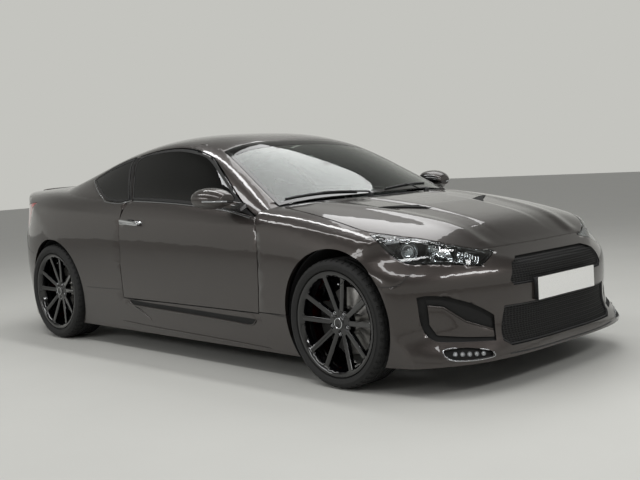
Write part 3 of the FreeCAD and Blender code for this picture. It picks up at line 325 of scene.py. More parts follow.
def finish(name):
    """Material of this name, made once from the scene's settings"""
    if name in FINISHES:
        return FINISHES[name]
    scene = bpy.context.scene
    paint, glass, wheel = scene.coupe_paint, scene.coupe_glass, scene.coupe_wheels
    trim, cabin = scene.coupe_trim, scene.coupe_cabin
    maker, *values = {
        "metallic_paint": (clearcoated_metallic_paint, paint.colour, paint.shade, paint.flake),
        "caliper_enamel": (gloss_enamel, paint.calipers),
        "rim_enamel": (gloss_enamel, wheel.enamel, 0.1),
        "piano_black": (gloss_enamel, linear("0C0C0D"), 0.08),
        "black_abs": (grained_abs, trim.plastic),
        "mesh_black": (grained_abs, linear("030303"), 0.62, 0.003),
        # Near-black matt plastic; on the grille backing, hood vents, intake ducts and skirt slots it is also painted
        # shade of deep openings
        "grille_backing": (grained_abs, linear("050505"), 0.85, 0.004),
        "dashboard_skin": (grained_abs, cabin.dashboard, 0.6, 0.002),
        "tyre_rubber": (vulcanised_rubber, wheel.rubber),
        "seal_rubber": (vulcanised_rubber, linear("161616")),
        "windscreen_glass": (float_glass, glass.windscreen),
        "privacy_glass": (float_glass, glass.side),
        "lens_acrylic": (float_glass, linear("F2F5F6")),
        "tail_acrylic": (ribbed_lens, glass.tail),
        "clear_ribbed": (ribbed_lens, linear("E6E8EA")),
        "chrome": (bright_plate, linear("D4D6D8"), 0.08),
        "satin_chrome": (bright_plate, linear("A8A9AB"), 0.22),
        "mirror_glass": (bright_plate, linear("C6CCD2"), 0.02),
        "reflector": (bright_plate, linear("C9CBCD"), 0.12),
        "brake_iron": (turned_iron,),
        "underbody_coat": (stone_guard, linear("1E1E1F")),
        "cast_alloy": (cast_metal, linear("83827F")),
        "chassis_iron": (cast_metal, linear("3A3938")),
        "stainless": (brushed_stainless,),
        "leather": (seat_leather, cabin.leather),
        "roof_lining": (woven_lining, cabin.lining),
        "carpet": (woven_lining, linear("1F1E1E"), 0.004),
        "plate_film": (reflective_sheet, linear("F1F1EE")),
    }[name]
    material, tree, place = begin(name)
    maker(tree, place, *values)
    FINISHES[name] = material
    return material


# Geometry helpers ---


def new_piece(shape, name, body, materials, angle=35.0):
    """Object from a bmesh, shaded smooth below the angle, riding on a CAD body"""
    mesh = bpy.data.meshes.new(name)
    shape.to_mesh(mesh)
    shape.free()
    for material in [materials] if isinstance(materials, str) else materials:
        mesh.materials.append(finish(material))
    mesh.shade_smooth()
    mesh.set_sharp_from_angle(angle=math.radians(angle))
    piece = bpy.data.objects.new(name, mesh)
    bpy.context.scene.collection.objects.link(piece)
    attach(piece, body)
    return piece


def outwards(shape):
    bmesh.ops.recalc_face_normals(shape, faces=shape.faces)


def add_mirrored(shape):
    """Adds the left-hand twin of a right-hand shape"""
    twin = bmesh.ops.duplicate(shape, geom=shape.verts[:] + shape.edges[:] + shape.faces[:])["geom"]
    bmesh.ops.scale(shape, vec=(1, -1, 1), verts=[e for e in twin if isinstance(e, bmesh.types.BMVert)])
    bmesh.ops.reverse_faces(shape, faces=[e for e in twin if isinstance(e, bmesh.types.BMFace)])


def solid_piece(shape, name, body, material, angle=35.0, twin=False):
    """Piece whose faces all look outwards, with a left-hand twin if asked"""
    outwards(shape)
    if twin:
        add_mirrored(shape)
    return new_piece(shape, name, body, material, angle)


def dressed(node, materials, pick=None, angle=32.0):
    """Copy of a CAD node in these materials. pick gives a face's material number from its middle and normal."""
    shape = bmesh.new()
    shape.from_mesh(frame["nodes"][node].data)
    bmesh.ops.remove_doubles(shape, verts=shape.verts, dist=MERGED)
    if pick:
        for face in shape.faces:
            face.material_index = int(pick(face.calc_center_median(), face.normal))
    piece = new_piece(shape, node + "_dressed", frame["nodes"][node]["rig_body"], materials, angle=angle)
    weighted = piece.modifiers.new("Weighted", "WEIGHTED_NORMAL")
    weighted.mode, weighted.keep_sharp = "FACE_AREA", True
    apply_modifiers(piece)
    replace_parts(piece, node)


def apply_modifiers(piece):
    graph = bpy.context.evaluated_depsgraph_get()
    made = bpy.data.meshes.new_from_object(piece.evaluated_get(graph))
    piece.modifiers.clear()
    piece.data = made


def ray_target(*nodes):
    shape = bmesh.new()
    for node in nodes:
        shape.from_mesh(frame["nodes"][node].data)
    target = BVHTree.FromBMesh(shape)
    shape.free()
    return target


def sight_line(view, a, b):
    """Start and direction of the line of sight through a drawn point"""
    if view == "side":
        return Vector(((a + DRAWING_OFFSET) * MM, -3, b * MM)), Vector((0, 1, 0))
    if view == "plan":
        return Vector(((a + DRAWING_OFFSET) * MM, b * MM, 3)), Vector((0, 0, -1))
    if view == "front":
        return Vector((4, a * MM, b * MM)), Vector((-1, 0, 0))
    if view == "rear":
        return Vector((-4, a * MM, b * MM)), Vector((1, 0, 0))
    half = math.sqrt(0.5)
    foot = Vector(((a * half + DRAWING_OFFSET) * MM, a * half * MM, b * MM))
    return foot + Vector((half, -half, 0)) * 4, Vector((-half, half, 0))


def cast(target, view, points, lift=0.0):
    """Points on the target under drawn points, raised by lift in metres, with their normals"""
    found = []
    for a, b in points:
        start, direction = sight_line(view, a, b)
        hit, normal = target.ray_cast(start, direction)[:2]
        if hit is None or (view in ("side", "corner") and hit.y > 0):
            continue
        if normal.dot(direction) > 0:
            normal = -normal
        found.append((hit + normal * lift, normal))
    return found


def through(points, per_span=6, closed=False):
    """Smooth run of points through the given ones"""
    points = [Vector(p).to_3d() for p in points]
    count = len(points)
    smooth = []
    for i in range(count if closed else count - 1):
        p1, p2 = points[i], points[(i + 1) % count]
        p0 = points[i - 1] if closed or i else p1 * 2 - p2
        p3 = points[(i + 2) % count] if closed or i + 2 < count else p2 * 2 - p1
        for k in range(per_span):
            t = k / per_span
            smooth.append(0.5 * ((2 * p1) + (p2 - p0) * t + (2 * p0 - 5 * p1 + 4 * p2 - p3) * t * t
                                 + (3 * p1 - p0 - 3 * p2 + p3) * t ** 3))
    if not closed:
        smooth.append(points[-1])
    return smooth


def flat_through(points, per_span=6, closed=False):
    return [(p.x, p.y) for p in through([(a, b, 0) for a, b in points], per_span, closed)]


def sweep(shape, stations, wide, high, sides=8, closed=False, taper=None):
    """Bar of rounded section along (point, normal) stations: wide across the normal and high along it"""
    count = len(stations)
    if count < 2:
        return
    places = []
    for i, (point, normal) in enumerate(stations):
        before = stations[i - 1][0] if closed or i else point
        after = stations[(i + 1) % count][0] if closed or i + 1 < count else point
        along = (after - before).normalized()
        across = normal.cross(along).normalized()
        rise = along.cross(across)
        scale = taper(i / (count - 1)) if taper else 1.0
        turned = Matrix((across * wide * scale, rise * high * scale, along)).transposed().to_4x4()
        places.append(Matrix.Translation(point) @ turned)
    ring = bmesh.ops.create_circle(shape, segments=sides, radius=0.5, matrix=places[0])["verts"]
    first = ring
    for i in range(1, count):
        edges = list({edge for v in ring for edge in v.link_edges if edge.other_vert(v) in ring})
        made = bmesh.ops.extrude_edge_only(shape, edges=edges)["geom"]
        ring = [e for e in made if isinstance(e, bmesh.types.BMVert)]
        bmesh.ops.transform(shape, matrix=places[i] @ places[i - 1].inverted(), verts=ring)
    if closed:
        loops = [edge for v in first + ring for edge in v.link_edges
                 if edge.is_boundary and (edge.other_vert(v) in first or edge.other_vert(v) in ring)]
        bmesh.ops.bridge_loops(shape, edges=list(set(loops)))
    else:
        ends = [edge for edge in shape.edges if edge.is_boundary]
        bmesh.ops.holes_fill(shape, edges=ends, sides=sides)


def bar(shape, target, view, line, lift, wide, high, sides=8, closed=False, taper=None):
    """Bar of rounded section on the target, along a drawn line"""
    sweep(shape, cast(target, view, line, lift), wide, high, sides, closed, taper)


def pointed(ends, power):
    """Taper of a bar that is full in its middle and this share of it at both ends"""
    return lambda t: ends + (1 - ends) * math.sin(math.pi * t) ** power


def rounded_box(shape, low, high, radius, turn=None, about=None):
    """Box between two corners with rounded edges, turned about a point if asked"""
    low, high = Vector(low), Vector(high)
    made = bmesh.ops.create_cube(shape, size=1.0, matrix=Matrix.Translation((low + high) / 2)
                                 @ Matrix.Diagonal((*(high - low), 1)))["verts"]
    edges = list({edge for v in made for edge in v.link_edges})
    result = bmesh.ops.bevel(shape, geom=edges, offset=radius, segments=3, profile=0.5, affect="EDGES",
                             material=-1, clamp_overlap=True)
    if turn is not None:
        verts = list({v for v in made if v.is_valid} | set(result["verts"]))
        bmesh.ops.rotate(shape, cent=(low + high) / 2 if about is None else about, matrix=turn, verts=verts)


def turned(shape, profile, centre, axis, steps):
    """Solid of revolution from (along, radius) points about an axis through the centre"""
    axis = Vector(axis).normalized()
    side = axis.orthogonal().normalized()
    verts = [shape.verts.new(Vector(centre) + axis * a + side * r) for a, r in profile]
    edges = [shape.edges.new(pair) for pair in zip(verts, verts[1:])]
    bmesh.ops.spin(shape, geom=verts + edges, cent=centre, axis=axis, angle=math.tau, steps=steps, use_merge=True,
                   use_duplicate=False)
    bmesh.ops.remove_doubles(shape, verts=shape.verts, dist=0.00001)


def inset(points, distance):
    """Closed outline drawn smaller all round by a distance"""
    area = sum(a[0] * b[1] - b[0] * a[1] for a, b in zip(points, points[1:] + points[:1]))
    turn = 1 if area > 0 else -1
    moved = []
    for i, (a, b) in enumerate(points):
        before, after = points[i - 1], points[(i + 1) % len(points)]
        da, db = after[0] - before[0], after[1] - before[1]
        length = math.hypot(da, db) or 1
        moved.append((a - turn * db / length * distance, b + turn * da / length * distance))
    return moved


def even(points, count, closed=False):
    """The same line as this many points at equal distances"""
    line = list(points) + ([points[0]] if closed else [])
    lengths = [0.0]
    for a, b in zip(line, line[1:]):
        lengths.append(lengths[-1] + math.dist(a, b))
    result, i = [], 0
    for k in range(count):
        wanted = lengths[-1] * k / (count if closed else count - 1)
        while i < len(line) - 2 and lengths[i + 1] < wanted:
            i += 1
        share = (wanted - lengths[i]) / ((lengths[i + 1] - lengths[i]) or 1)
        result.append(tuple(a + (b - a) * share for a, b in zip(line[i], line[i + 1])))
    return result


def at_share(points, share):
    """Point at this share along an evenly spaced line"""
    place = min(max(share, 0.0), 1.0) * (len(points) - 1)
    i = min(int(place), len(points) - 2)
    return tuple(a + (b - a) * (place - i) for a, b in zip(points[i], points[i + 1]))


def drawn(points, count):
    """Smooth line through drawn points, as this many at equal distances"""
    return even(flat_through(points), count)


def between(first, second):
    """Place between two evenly spaced lines: u along them, v from the first to the second"""
    return lambda u, v: tuple(a + (b - a) * v for a, b in zip(at_share(first, u), at_share(second, u)))


def four_sided(right, left, rear, front):
    """Place in a patch between four drawn lines: u from right to left, v from rear to front"""
    def place(u, v):
        spot = []
        for i in (0, 1):
            sides = (1 - u) * at_share(right, v)[i] + u * at_share(left, v)[i]
            ends = (1 - v) * at_share(rear, u)[i] + v * at_share(front, u)[i]
            corners = ((1 - u) * (1 - v) * right[0][i] + u * (1 - v) * left[0][i]
                       + (1 - u) * v * right[-1][i] + u * v * left[-1][i])
            spot.append(sides + ends - corners)
        return tuple(spot)
    return place


def draped(shape, target, view, place, columns, rows, lift=0.001, rise=None):
    """Grid laid on the target where place(u, v) draws its points, raised by lift and by rise(u, v, point)"""
    verts = bmesh.ops.create_grid(shape, x_segments=columns, y_segments=rows, size=1.0)["verts"]
    lost = []
    for vert in verts:
        u, v = (vert.co.x + 1) / 2, (vert.co.y + 1) / 2
        found = cast(target, view, [place(u, v)])
        if not found:
            lost.append(vert)
            continue
        hit, normal = found[0]
        vert.co = hit + normal * (lift + (rise(u, v, hit) if rise else 0.0))
    faces = list({face for v in verts if v not in lost for face in v.link_faces})
    bmesh.ops.delete(shape, geom=lost, context="VERTS")
    bmesh.ops.remove_doubles(shape, verts=[v for v in verts if v.is_valid], dist=0.00005)
    faces = [face for face in faces if face.is_valid]
    direction = sight_line(view, 0, 0)[1]
    if faces and sum((face.normal.dot(direction) for face in faces), 0.0) > 0:
        bmesh.ops.reverse_faces(shape, faces=faces)
    shape.normal_update()
    return faces


def border(shape, target, view, outline, width, lift, columns):
    """Flat strip of this width, half a millimetre inside a closed drawn outline"""
    outer, inner = even(inset(outline, 0.5), columns, True), even(inset(outline, 0.5 + width), columns, True)
    draped(shape, target, view, between(outer + outer[:1], inner + inner[:1]), columns, 3, lift)


def mirrored_line(points):
    return [(a, -b) for a, b in points]


def inset_line(points, distance):
    """Right-hand edge moved towards the car's middle"""
    moved = []
    for i, (a, b) in enumerate(points):
        before, after = points[max(i - 1, 0)], points[min(i + 1, len(points) - 1)]
        da, db = after[0] - before[0], after[1] - before[1]
        length = math.hypot(da, db)
        moved.append((a - db / length * distance, b + da / length * distance))
    return moved


def to_side(shape, sign):
    """Mirrors a right-hand shape if it belongs on the left"""
    if sign > 0:
        bmesh.ops.scale(shape, vec=(1, -1, 1), verts=shape.verts)
        bmesh.ops.reverse_faces(shape, faces=shape.faces)


def inside(point, outline):
    """True if a drawn point lies in a closed outline"""
    a, b = point
    found = False
    for (a0, b0), (a1, b1) in zip(outline, outline[1:] + outline[:1]):
        if (b0 > b) != (b1 > b) and a < (a1 - a0) * (b - b0) / (b1 - b0) + a0:
            found = not found
    return found


def wire_mesh(shape, target, view, outline, step, wire, lift):
    """Diamond mesh of flat bars inside a drawn outline, laid on the target"""
    low = [min(p[i] for p in outline) for i in (0, 1)]
    high = [max(p[i] for p in outline) for i in (0, 1)]
    step, wire = step / MM, wire / MM
    pace = step * 0.55
    columns = int((high[0] - low[0]) / step) + 2
    rows = int((high[1] - low[1]) / pace) + 2
    grid = bmesh.ops.create_grid(shape, x_segments=columns, y_segments=rows, size=0.5)["verts"]
    for vert in grid:
        row = round((vert.co.y + 0.5) * rows)
        column = round((vert.co.x + 0.5) * columns)
        vert.co = Vector((low[0] - step / 2 + column * step + (step / 2 if row % 2 else 0),
                          low[1] - step * 0.3 + row * pace, 0))
    gone = [v for v in grid if not inside((v.co.x, v.co.y), outline)]
    bmesh.ops.delete(shape, geom=gone, context="VERTS")
    faces = [face for v in grid if v.is_valid for face in v.link_faces]
    bmesh.ops.wireframe(shape, faces=list(set(faces)), thickness=wire, offset=0.0, use_replace=True,
                        use_boundary=True, use_even_offset=True)
    lost = []
    for vert in shape.verts:
        found = cast(target, view, [(vert.co.x, vert.co.y)])
        if found:
            vert.co = found[0][0] + found[0][1] * (lift + vert.co.z * MM * 0.6)
        else:
            lost.append(vert)
    bmesh.ops.delete(shape, geom=lost, context="VERTS")


# Drawn lines of the panels, in millimetres
DOOR_BELT = [(815, 866), (578, 905), (242, 938), (-78, 959), (-399, 971)]
GLASS_TOP = [(-418, 971), (-574, 1194), (-520, 1257), (-370, 1275), (-168, 1281), (33, 1261), (247, 1205),
             (551, 1020), (718, 916)]
QUARTER_LINE = [(-457, 975), (-539, 962), (-618, 964), (-742, 978), (-890, 1040), (-1039, 1113), (-950, 1160),
                (-855, 1192), (-613, 1247), (-621, 1195), (-540, 1085)]
SCREEN_SIDE = [(881, -722), (718, -688), (504, -640), (244, -578)]
SCREEN_TOP = [(244, -578), (218, -420), (197, 0), (218, 420), (244, 578)]
SCREEN_FOOT = [(881, 722), (925, 500), (961, 250), (972, 0), (961, -250), (925, -500), (881, -722)]
BACK_SIDE = [(-700, -548), (-1000, -590), (-1300, -624), (-1540, -630)]
BACK_FOOT = [(-1540, -630), (-1566, -300), (-1572, 0), (-1566, 300), (-1540, 630)]
BACK_TOP = [(-700, 548), (-664, 300), (-656, 0), (-664, -300), (-700, -548)]
HOOD_EDGE = [(940, -732), (1120, -762), (1309, -781), (1480, -796), (1605, -798), (1700, -771), (1780, -741),
             (1865, -688), (1936, -625), (2000, -535), (2040, -450)]
HOOD_FRONT = [(2040, -450), (2047, -240), (2050, 0), (2047, 240), (2040, 450)]
HOOD_BACK = [(940, -732), (992, -500), (1028, -250), (1042, 0), (1028, 250), (992, 500), (940, 732)]
LIP_LINE = [(893, 229), (932, 236), (1020, 230), (1098, 217), (1131, 200), (1128, 186), (1023, 182), (937, 189),
            (905, 205)]
UPPER_GRILLE = [(-394, 500), (-414, 526), (-372, 604), (-301, 630), (301, 630), (372, 604), (414, 526), (394, 500)]
LOWER_GRILLE = [(-446, 216), (-486, 246), (-453, 408), (453, 408), (486, 246), (446, 216)]


def outer_side(point, normal):
    """How far a face of the body looks away from the car's middle"""
    ahead = point.x - min(max(point.x, -1.7), 1.6)
    return normal.dot(Vector((ahead, point.y, (point.z - 0.62) * 1.2)).normalized())


def skin_or_back(point, normal):
    return 0 if outer_side(point, normal) > -0.15 else 1


class CoupeOperator(bpy.types.Operator):
    """Shared options of the coupe's operators"""
    bl_options = {"REGISTER", "UNDO"}


class COUPE_OT_panels(CoupeOperator):
    """Paint the fixed body panels, the hood, the boot lid and the bumpers"""
    bl_idname = "coupe.panels"
    bl_label = "Body panels"

    def execute(self, context):
        for node in ("front_fenders", "side_frames", "front_bumper", "rear_bumper", "side_skirts", "trunk_lid"):
            dressed(node, ["metallic_paint", "underbody_coat"], skin_or_back)
        for node, inner in (("roof", "roof_lining"), ("hood", "underbody_coat")):
            dressed(node, ["metallic_paint", inner], lambda p, n: n.z < -0.1)
        self.pressing()
        self.vents()
        return {"FINISHED"}

    def pressing(self):
        """Pressed ridges of the hood, on a sheet 0.6 mm over its skin"""
        right = drawn(inset_line(HOOD_EDGE, 1.5), 80)
        front = drawn([(x - 1.5, y) for x, y in HOOD_FRONT], 60)
        back = drawn([(x + 2.5, y * 0.998) for x, y in HOOD_BACK], 60)
        right[0], right[-1] = back[0], front[0]

        def rise(u, v, hit):
            across = abs(hit.y)
            ahead = hit.x - DRAWING_OFFSET * MM
            fade = min(1.0, v / 0.1, (1 - v) / 0.08, 0.5 * min(u, 1 - u) / 0.03)
            ridge = 0.56 - 0.16 * (ahead - 1.0)
            outer = 0.0065 * math.exp(-((across - ridge) / 0.05) ** 2)
            inner = 0.27 - 0.06 * (ahead - 1.0)
            bulge = 0.010 / (1 + math.exp((across - inner) / 0.008))
            return max(fade, 0.0) * (outer + bulge * min(1.0, (2.0 - ahead) / 0.5))
        shape = bmesh.new()
        draped(shape, ray_target("hood"), "plan", four_sided(right, mirrored_line(right), back, front), 150, 110,
               0.0006, rise)
        new_piece(shape, "hood_pressing", "hood", "metallic_paint", 60)

    def vents(self):
        """Dark slatted vents on the hood, each between two rims"""
        target, shape = ray_target("hood"), bmesh.new()
        upper = drawn([(1392, -470), (1440, -330), (1500, -180), (1512, -140)], 30)
        lower = drawn([(1398, -472), (1470, -350), (1570, -215), (1598, -172)], 30)
        slats = 22
        # The slats and rims are near-black matt: black plastic, darkened further as painted shade of the openings
        draped(shape, target, "plan", between(upper, lower), 60, 12, 0.0046,
               lambda u, v, hit: 0.0016 * abs(math.sin(math.pi * slats * u)))
        bar(shape, target, "plan", lower, 0.0045, 0.006, 0.006)
        bar(shape, target, "plan", upper, 0.0045, 0.005, 0.006)
        add_mirrored(shape)
        new_piece(shape, "hood_vents", "hood", "grille_backing", 40)


class COUPE_OT_skirts(CoupeOperator):
    """Lay the dark slots, near-black sheets that paint the shade of a recess, and the ledges on the side skirts, and
    the thin joints between the panels
    """
    bl_idname = "coupe.skirts"
    bl_label = "Skirts and joints"

    def execute(self, context):
        skirts = ray_target("side_skirts")
        top = drawn([(-452, 348), (-400, 337), (-330, 330), (-84, 324), (228, 318), (517, 311), (700, 308),
                     (815, 306)], 90)
        foot = drawn([(-452, 340), (-400, 303), (-265, 297), (39, 289), (323, 282), (605, 274), (747, 268),
                      (800, 276), (826, 300)], 90)
        slot, ledge, joints = bmesh.new(), bmesh.new(), bmesh.new()
        # The slot is a near-black matt sheet just over the skirt: painted shade of a recess
        draped(slot, skirts, "side", between(top, foot), 90, 8, 0.0012)
        bar(ledge, skirts, "side", foot, 0.002, 0.015, 0.018, 10, taper=pointed(0.3, 0.3))
        fin = drawn([(-470, 322), (-411, 300), (-310, 262), (-216, 215)], 30)
        bar(ledge, skirts, "side", fin, 0.001, 0.016, 0.012, 10, taper=pointed(0.25, 0.5))
        hem = drawn([(-560, 186), (-251, 174), (156, 166), (562, 158), (928, 150)], 60)
        bar(ledge, skirts, "side", hem, 0.002, 0.012, 0.010, 10, taper=pointed(0.3, 0.3))
        skin = ray_target("front_fenders", "side_skirts", "front_bumper", "rear_bumper", "side_frames")
        for line in ([(846, 349), (960, 345), (1088, 338)], [(-939, 393), (-703, 394), (-482, 399)],
                     [(1696, 536), (1790, 537), (1857, 545), (1889, 585), (1910, 622), (1920, 686)],
                     [(-1709, 601), (-1870, 629), (-1945, 690), (-1968, 752)]):
            bar(joints, skin, "side", drawn(line, 50), 0.0002, 0.0035, 0.0012, 6)
        add_mirrored(slot)
        new_piece(slot, "skirt_slot_shade", "body", "grille_backing", 50)
        solid_piece(ledge, "skirt_ledges", "body", "metallic_paint", 50, True)
        solid_piece(joints, "panel_joints", "body", "seal_rubber", 50, True)
        return {"FINISHED"}


class COUPE_OT_doors(CoupeOperator):
    """Finish both doors with their handles, armrests and inner trim"""
    bl_idname = "coupe.doors"
    bl_label = "Doors"

    def execute(self, context):
        def parts(point, normal):
            if 0.818 < point.z < 0.848 and abs(point.y) > 0.8985 and -0.395 < point.x < -0.18:
                return 1
            return 2 if abs(point.y) < 0.803 else 0
        for side, sign in (RIGHT, LEFT):
            door = "door_" + side
            dressed(door, ["metallic_paint", "chrome", "dashboard_skin"], parts)
            recess, cup = bmesh.new(), ray_target(door)
            for vert in bmesh.ops.create_circle(recess, segments=32, radius=1.0, cap_ends=True)["verts"]:
                vert.co = Vector((-0.30 + vert.co.x * 0.052, 0, 0.833 + vert.co.y * 0.025))
                hit = cup.ray_cast(Vector((vert.co.x, sign * 2, vert.co.z)), Vector((0, -sign, 0)))[0]
                vert.co.y = sign * 0.8965 if hit is None or abs(hit.y) > 0.898 else hit.y + sign * 0.0008
            solid_piece(recess, "handle_recess_" + side, door, "piano_black")
            grip, card, trim = bmesh.new(), bmesh.new(), bmesh.new()
            line = drawn([(-0.392, 0.846), (-0.36, 0.842), (-0.29, 0.835), (-0.22, 0.829), (-0.185, 0.826)], 30)
            sweep(grip, [(Vector((x, sign * 0.9205, z)), Vector((0, sign, 0))) for x, z in line], 0.030, 0.014, 14,
                  taper=pointed(0.35, 0.35))
            solid_piece(grip, "door_grip_" + side, door, "chrome", 50)
            rounded_box(card, (-0.28, sign * 0.742, 0.555), (0.42, sign * 0.801, 0.61), 0.02)
            rounded_box(card, (-0.34, sign * 0.781, 0.30), (0.70, sign * 0.801, 0.44), 0.009)
            new_piece(card, "armrest_" + side, door, "leather")
            rounded_box(trim, (0.10, sign * 0.782, 0.66), (0.30, sign * 0.801, 0.685), 0.006)
            turned(trim, [(0.0, CORE), (0.0, 0.075), (0.012, 0.082), (0.018, 0.078), (0.018, CORE)],
                   (0.60, sign * 0.80, 0.38), (0, -sign, 0), 40)
            solid_piece(trim, "door_trim_" + side, door, "satin_chrome")
        return {"FINISHED"}


class COUPE_OT_glass(CoupeOperator):
    """Glaze the car, with the black edge bands, seals and the bright strips round the side windows"""
    bl_idname = "coupe.glass"
    bl_label = "Glass and seals"

    def execute(self, context):
        dressed("windscreen", "windscreen_glass")
        dressed("rear_window", "privacy_glass")
        dressed("quarter_glass", "privacy_glass")
        for node, side, first, second, width in (("windscreen", SCREEN_SIDE, SCREEN_TOP, SCREEN_FOOT, 26),
                                                 ("rear_window", BACK_SIDE, BACK_FOOT, BACK_TOP, 42)):
            other = [(x, -y) for x, y in reversed(flat_through(side))]
            outline = [point for line in (flat_through(side), flat_through(first), other, flat_through(second))
                       for point in line[:-1]]
            band = bmesh.new()
            border(band, ray_target(node), "plan", outline, width, 0.0007, 180)
            new_piece(band, node + "_band", "body", "piano_black")
        top, band = drawn(SCREEN_TOP, 60), bmesh.new()

        def place(u, v):
            x, y = at_share(top, 0.03 + u * 0.94)
            return x + 20 + v * 75, y * (1 + 0.014 * v)
        draped(band, ray_target("windscreen"), "plan", place, 60, 4, 0.0006)
        new_piece(band, "sun_band", "body", "privacy_glass")
        trim = context.scene.coupe_trim
        pane, wall = ray_target("door_glass_right"), ray_target("door_right", "door_glass_right")
        pillar, quarter = ray_target("side_frames"), ray_target("quarter_glass")
        foot = ray_target("side_frames", "quarter_glass")
        window = flat_through(DOOR_BELT)[:-1] + flat_through(GLASS_TOP + [(815, 866)])[:-1]
        belt = [(a, b - 5) for a, b in drawn(DOOR_BELT, 70)][1:]
        edge = even([(809, 872), (718, 918), (640, 966), (596, 993)], 24)
        rear = drawn([(-440, 968), (-539, 955), (-618, 957), (-742, 971), (-890, 1032), (-1050, 1110)], 60)
        for side, sign in (RIGHT, LEFT):
            door = "door_" + side
            dressed("door_glass_" + side, "privacy_glass")
            for name, rides, target, line in (
                    ("window_seal_", door, pane, window),
                    ("quarter_seal_", "body", quarter, flat_through(QUARTER_LINE, closed=True))):
                shape = bmesh.new()
                border(shape, target, "side", line, trim.seal_width / MM, 0.0012, 150)
                to_side(shape, sign)
                new_piece(shape, name + side, rides, "seal_rubber")
            self.panel("mirror_triangle_" + side, door, sign, pane, "mesh_black",
                       even([(811, 868), (718, 914), (640, 962), (600, 986)], 30),
                       even([(811, 866), (718, 884), (640, 897), (600, 903)], 30), 20, 8, 0.0022)
            self.strip("belt_strip_" + side, door, sign, (wall, belt, 0.001, trim.belt_width, 0.005),
                       (pane, edge, 0.002, 0.006, 0.004))
            self.panel("pillar_panel_" + side, "body", sign, pillar, "grille_backing",
                       even([(-424, 973), (-500, 1086), (-580, 1196), (-572, 1246)], 40),
                       even([(-454, 977), (-538, 1086), (-619, 1196), (-611, 1245)], 40), 40, 6, 0.0012)
            self.strip("quarter_strip_" + side, "body", sign, (foot, rear, 0.001, trim.belt_width * 0.7, 0.004))
        return {"FINISHED"}

    def panel(self, name, rides, sign, target, material, first, second, columns, rows, lift):
        """Thin black panel between two drawn lines"""
        shape = bmesh.new()
        draped(shape, target, "side", between(first, second), columns, rows, lift)
        to_side(shape, sign)
        new_piece(shape, name, rides, material)

    def strip(self, name, rides, sign, *bars):
        """Bright strip of one or more bars, each given as target, line, lift, width and height"""
        shape = bmesh.new()
        for target, line, lift, wide, high in bars:
            bar(shape, target, "side", line, lift, wide, high)
        outwards(shape)
        to_side(shape, sign)
        new_piece(shape, name, rides, "satin_chrome")


class COUPE_OT_grilles(CoupeOperator):
    """Weave the meshes of the grilles and fit the blades of the side intakes"""
    bl_idname = "coupe.grilles"
    bl_label = "Grilles and intakes"

    def execute(self, context):
        trim = context.scene.coupe_trim
        target = ray_target("grilles")
        # The grille backing is near-black matt: painted shade of the deep opening behind the mesh
        dressed("grilles", "grille_backing")
        for name, line in (("upper_mesh", UPPER_GRILLE), ("lower_mesh", LOWER_GRILLE)):
            shape = bmesh.new()
            wire_mesh(shape, target, "front", line, trim.mesh_step, trim.mesh_wire, 0.006)
            solid_piece(shape, name, "body", "mesh_black")
        shape = bmesh.new()
        stations = cast(target, "front", even(inset(UPPER_GRILLE, 5), 90, True), 0.011)
        sweep(shape, [(p + Vector((-0.006, 0, 0)), n) for p, n in stations], 0.009, 0.010, 8, True)
        bar(shape, target, "front", even(inset(LOWER_GRILLE, 5), 90, True), 0.008, 0.009, 0.010, 8, True)
        solid_piece(shape, "grille_frames", "body", "black_abs")
        blade, wall = bmesh.new(), bmesh.new()
        top = drawn([(822, 470), (911, 462), (1060, 405), (1138, 352)], 40)
        fold = even([(832, 440), (905, 428), (1010, 352), (1140, 300)], 40)
        foot = even([(838, 350), (870, 296), (1010, 276), (1144, 264)], 40)
        faces = draped(blade, target, "corner", between(fold, foot), 40, 14, 0.002,
                       lambda u, v, hit: 0.011 * math.sin(math.pi * min(v * 0.8 + 0.1, 1)) ** 0.6)
        bmesh.ops.solidify(blade, geom=faces, thickness=-0.0015)
        # The walls inside the intakes are near-black matt: partly black plastic, partly painted shade of the ducts
        draped(wall, target, "corner", between(top, fold), 40, 8, 0.002,
               lambda u, v, hit: 0.003 * math.sin(math.pi * v))
        bar(blade, target, "corner", fold, 0.010, 0.009, 0.010)
        add_mirrored(blade)
        add_mirrored(wall)
        new_piece(blade, "intake_blades", "body", "metallic_paint", 50)
        new_piece(wall, "intake_ducts", "body", "grille_backing")
        lip = bmesh.new()
        line = drawn([(-470, 183), (-300, 178), (0, 176), (300, 178), (470, 183)], 70)
        bar(lip, ray_target("front_bumper"), "front", line, 0.0006, 0.007, 0.003)
        solid_piece(lip, "chin_groove", "body", "black_abs")
        return {"FINISHED"}


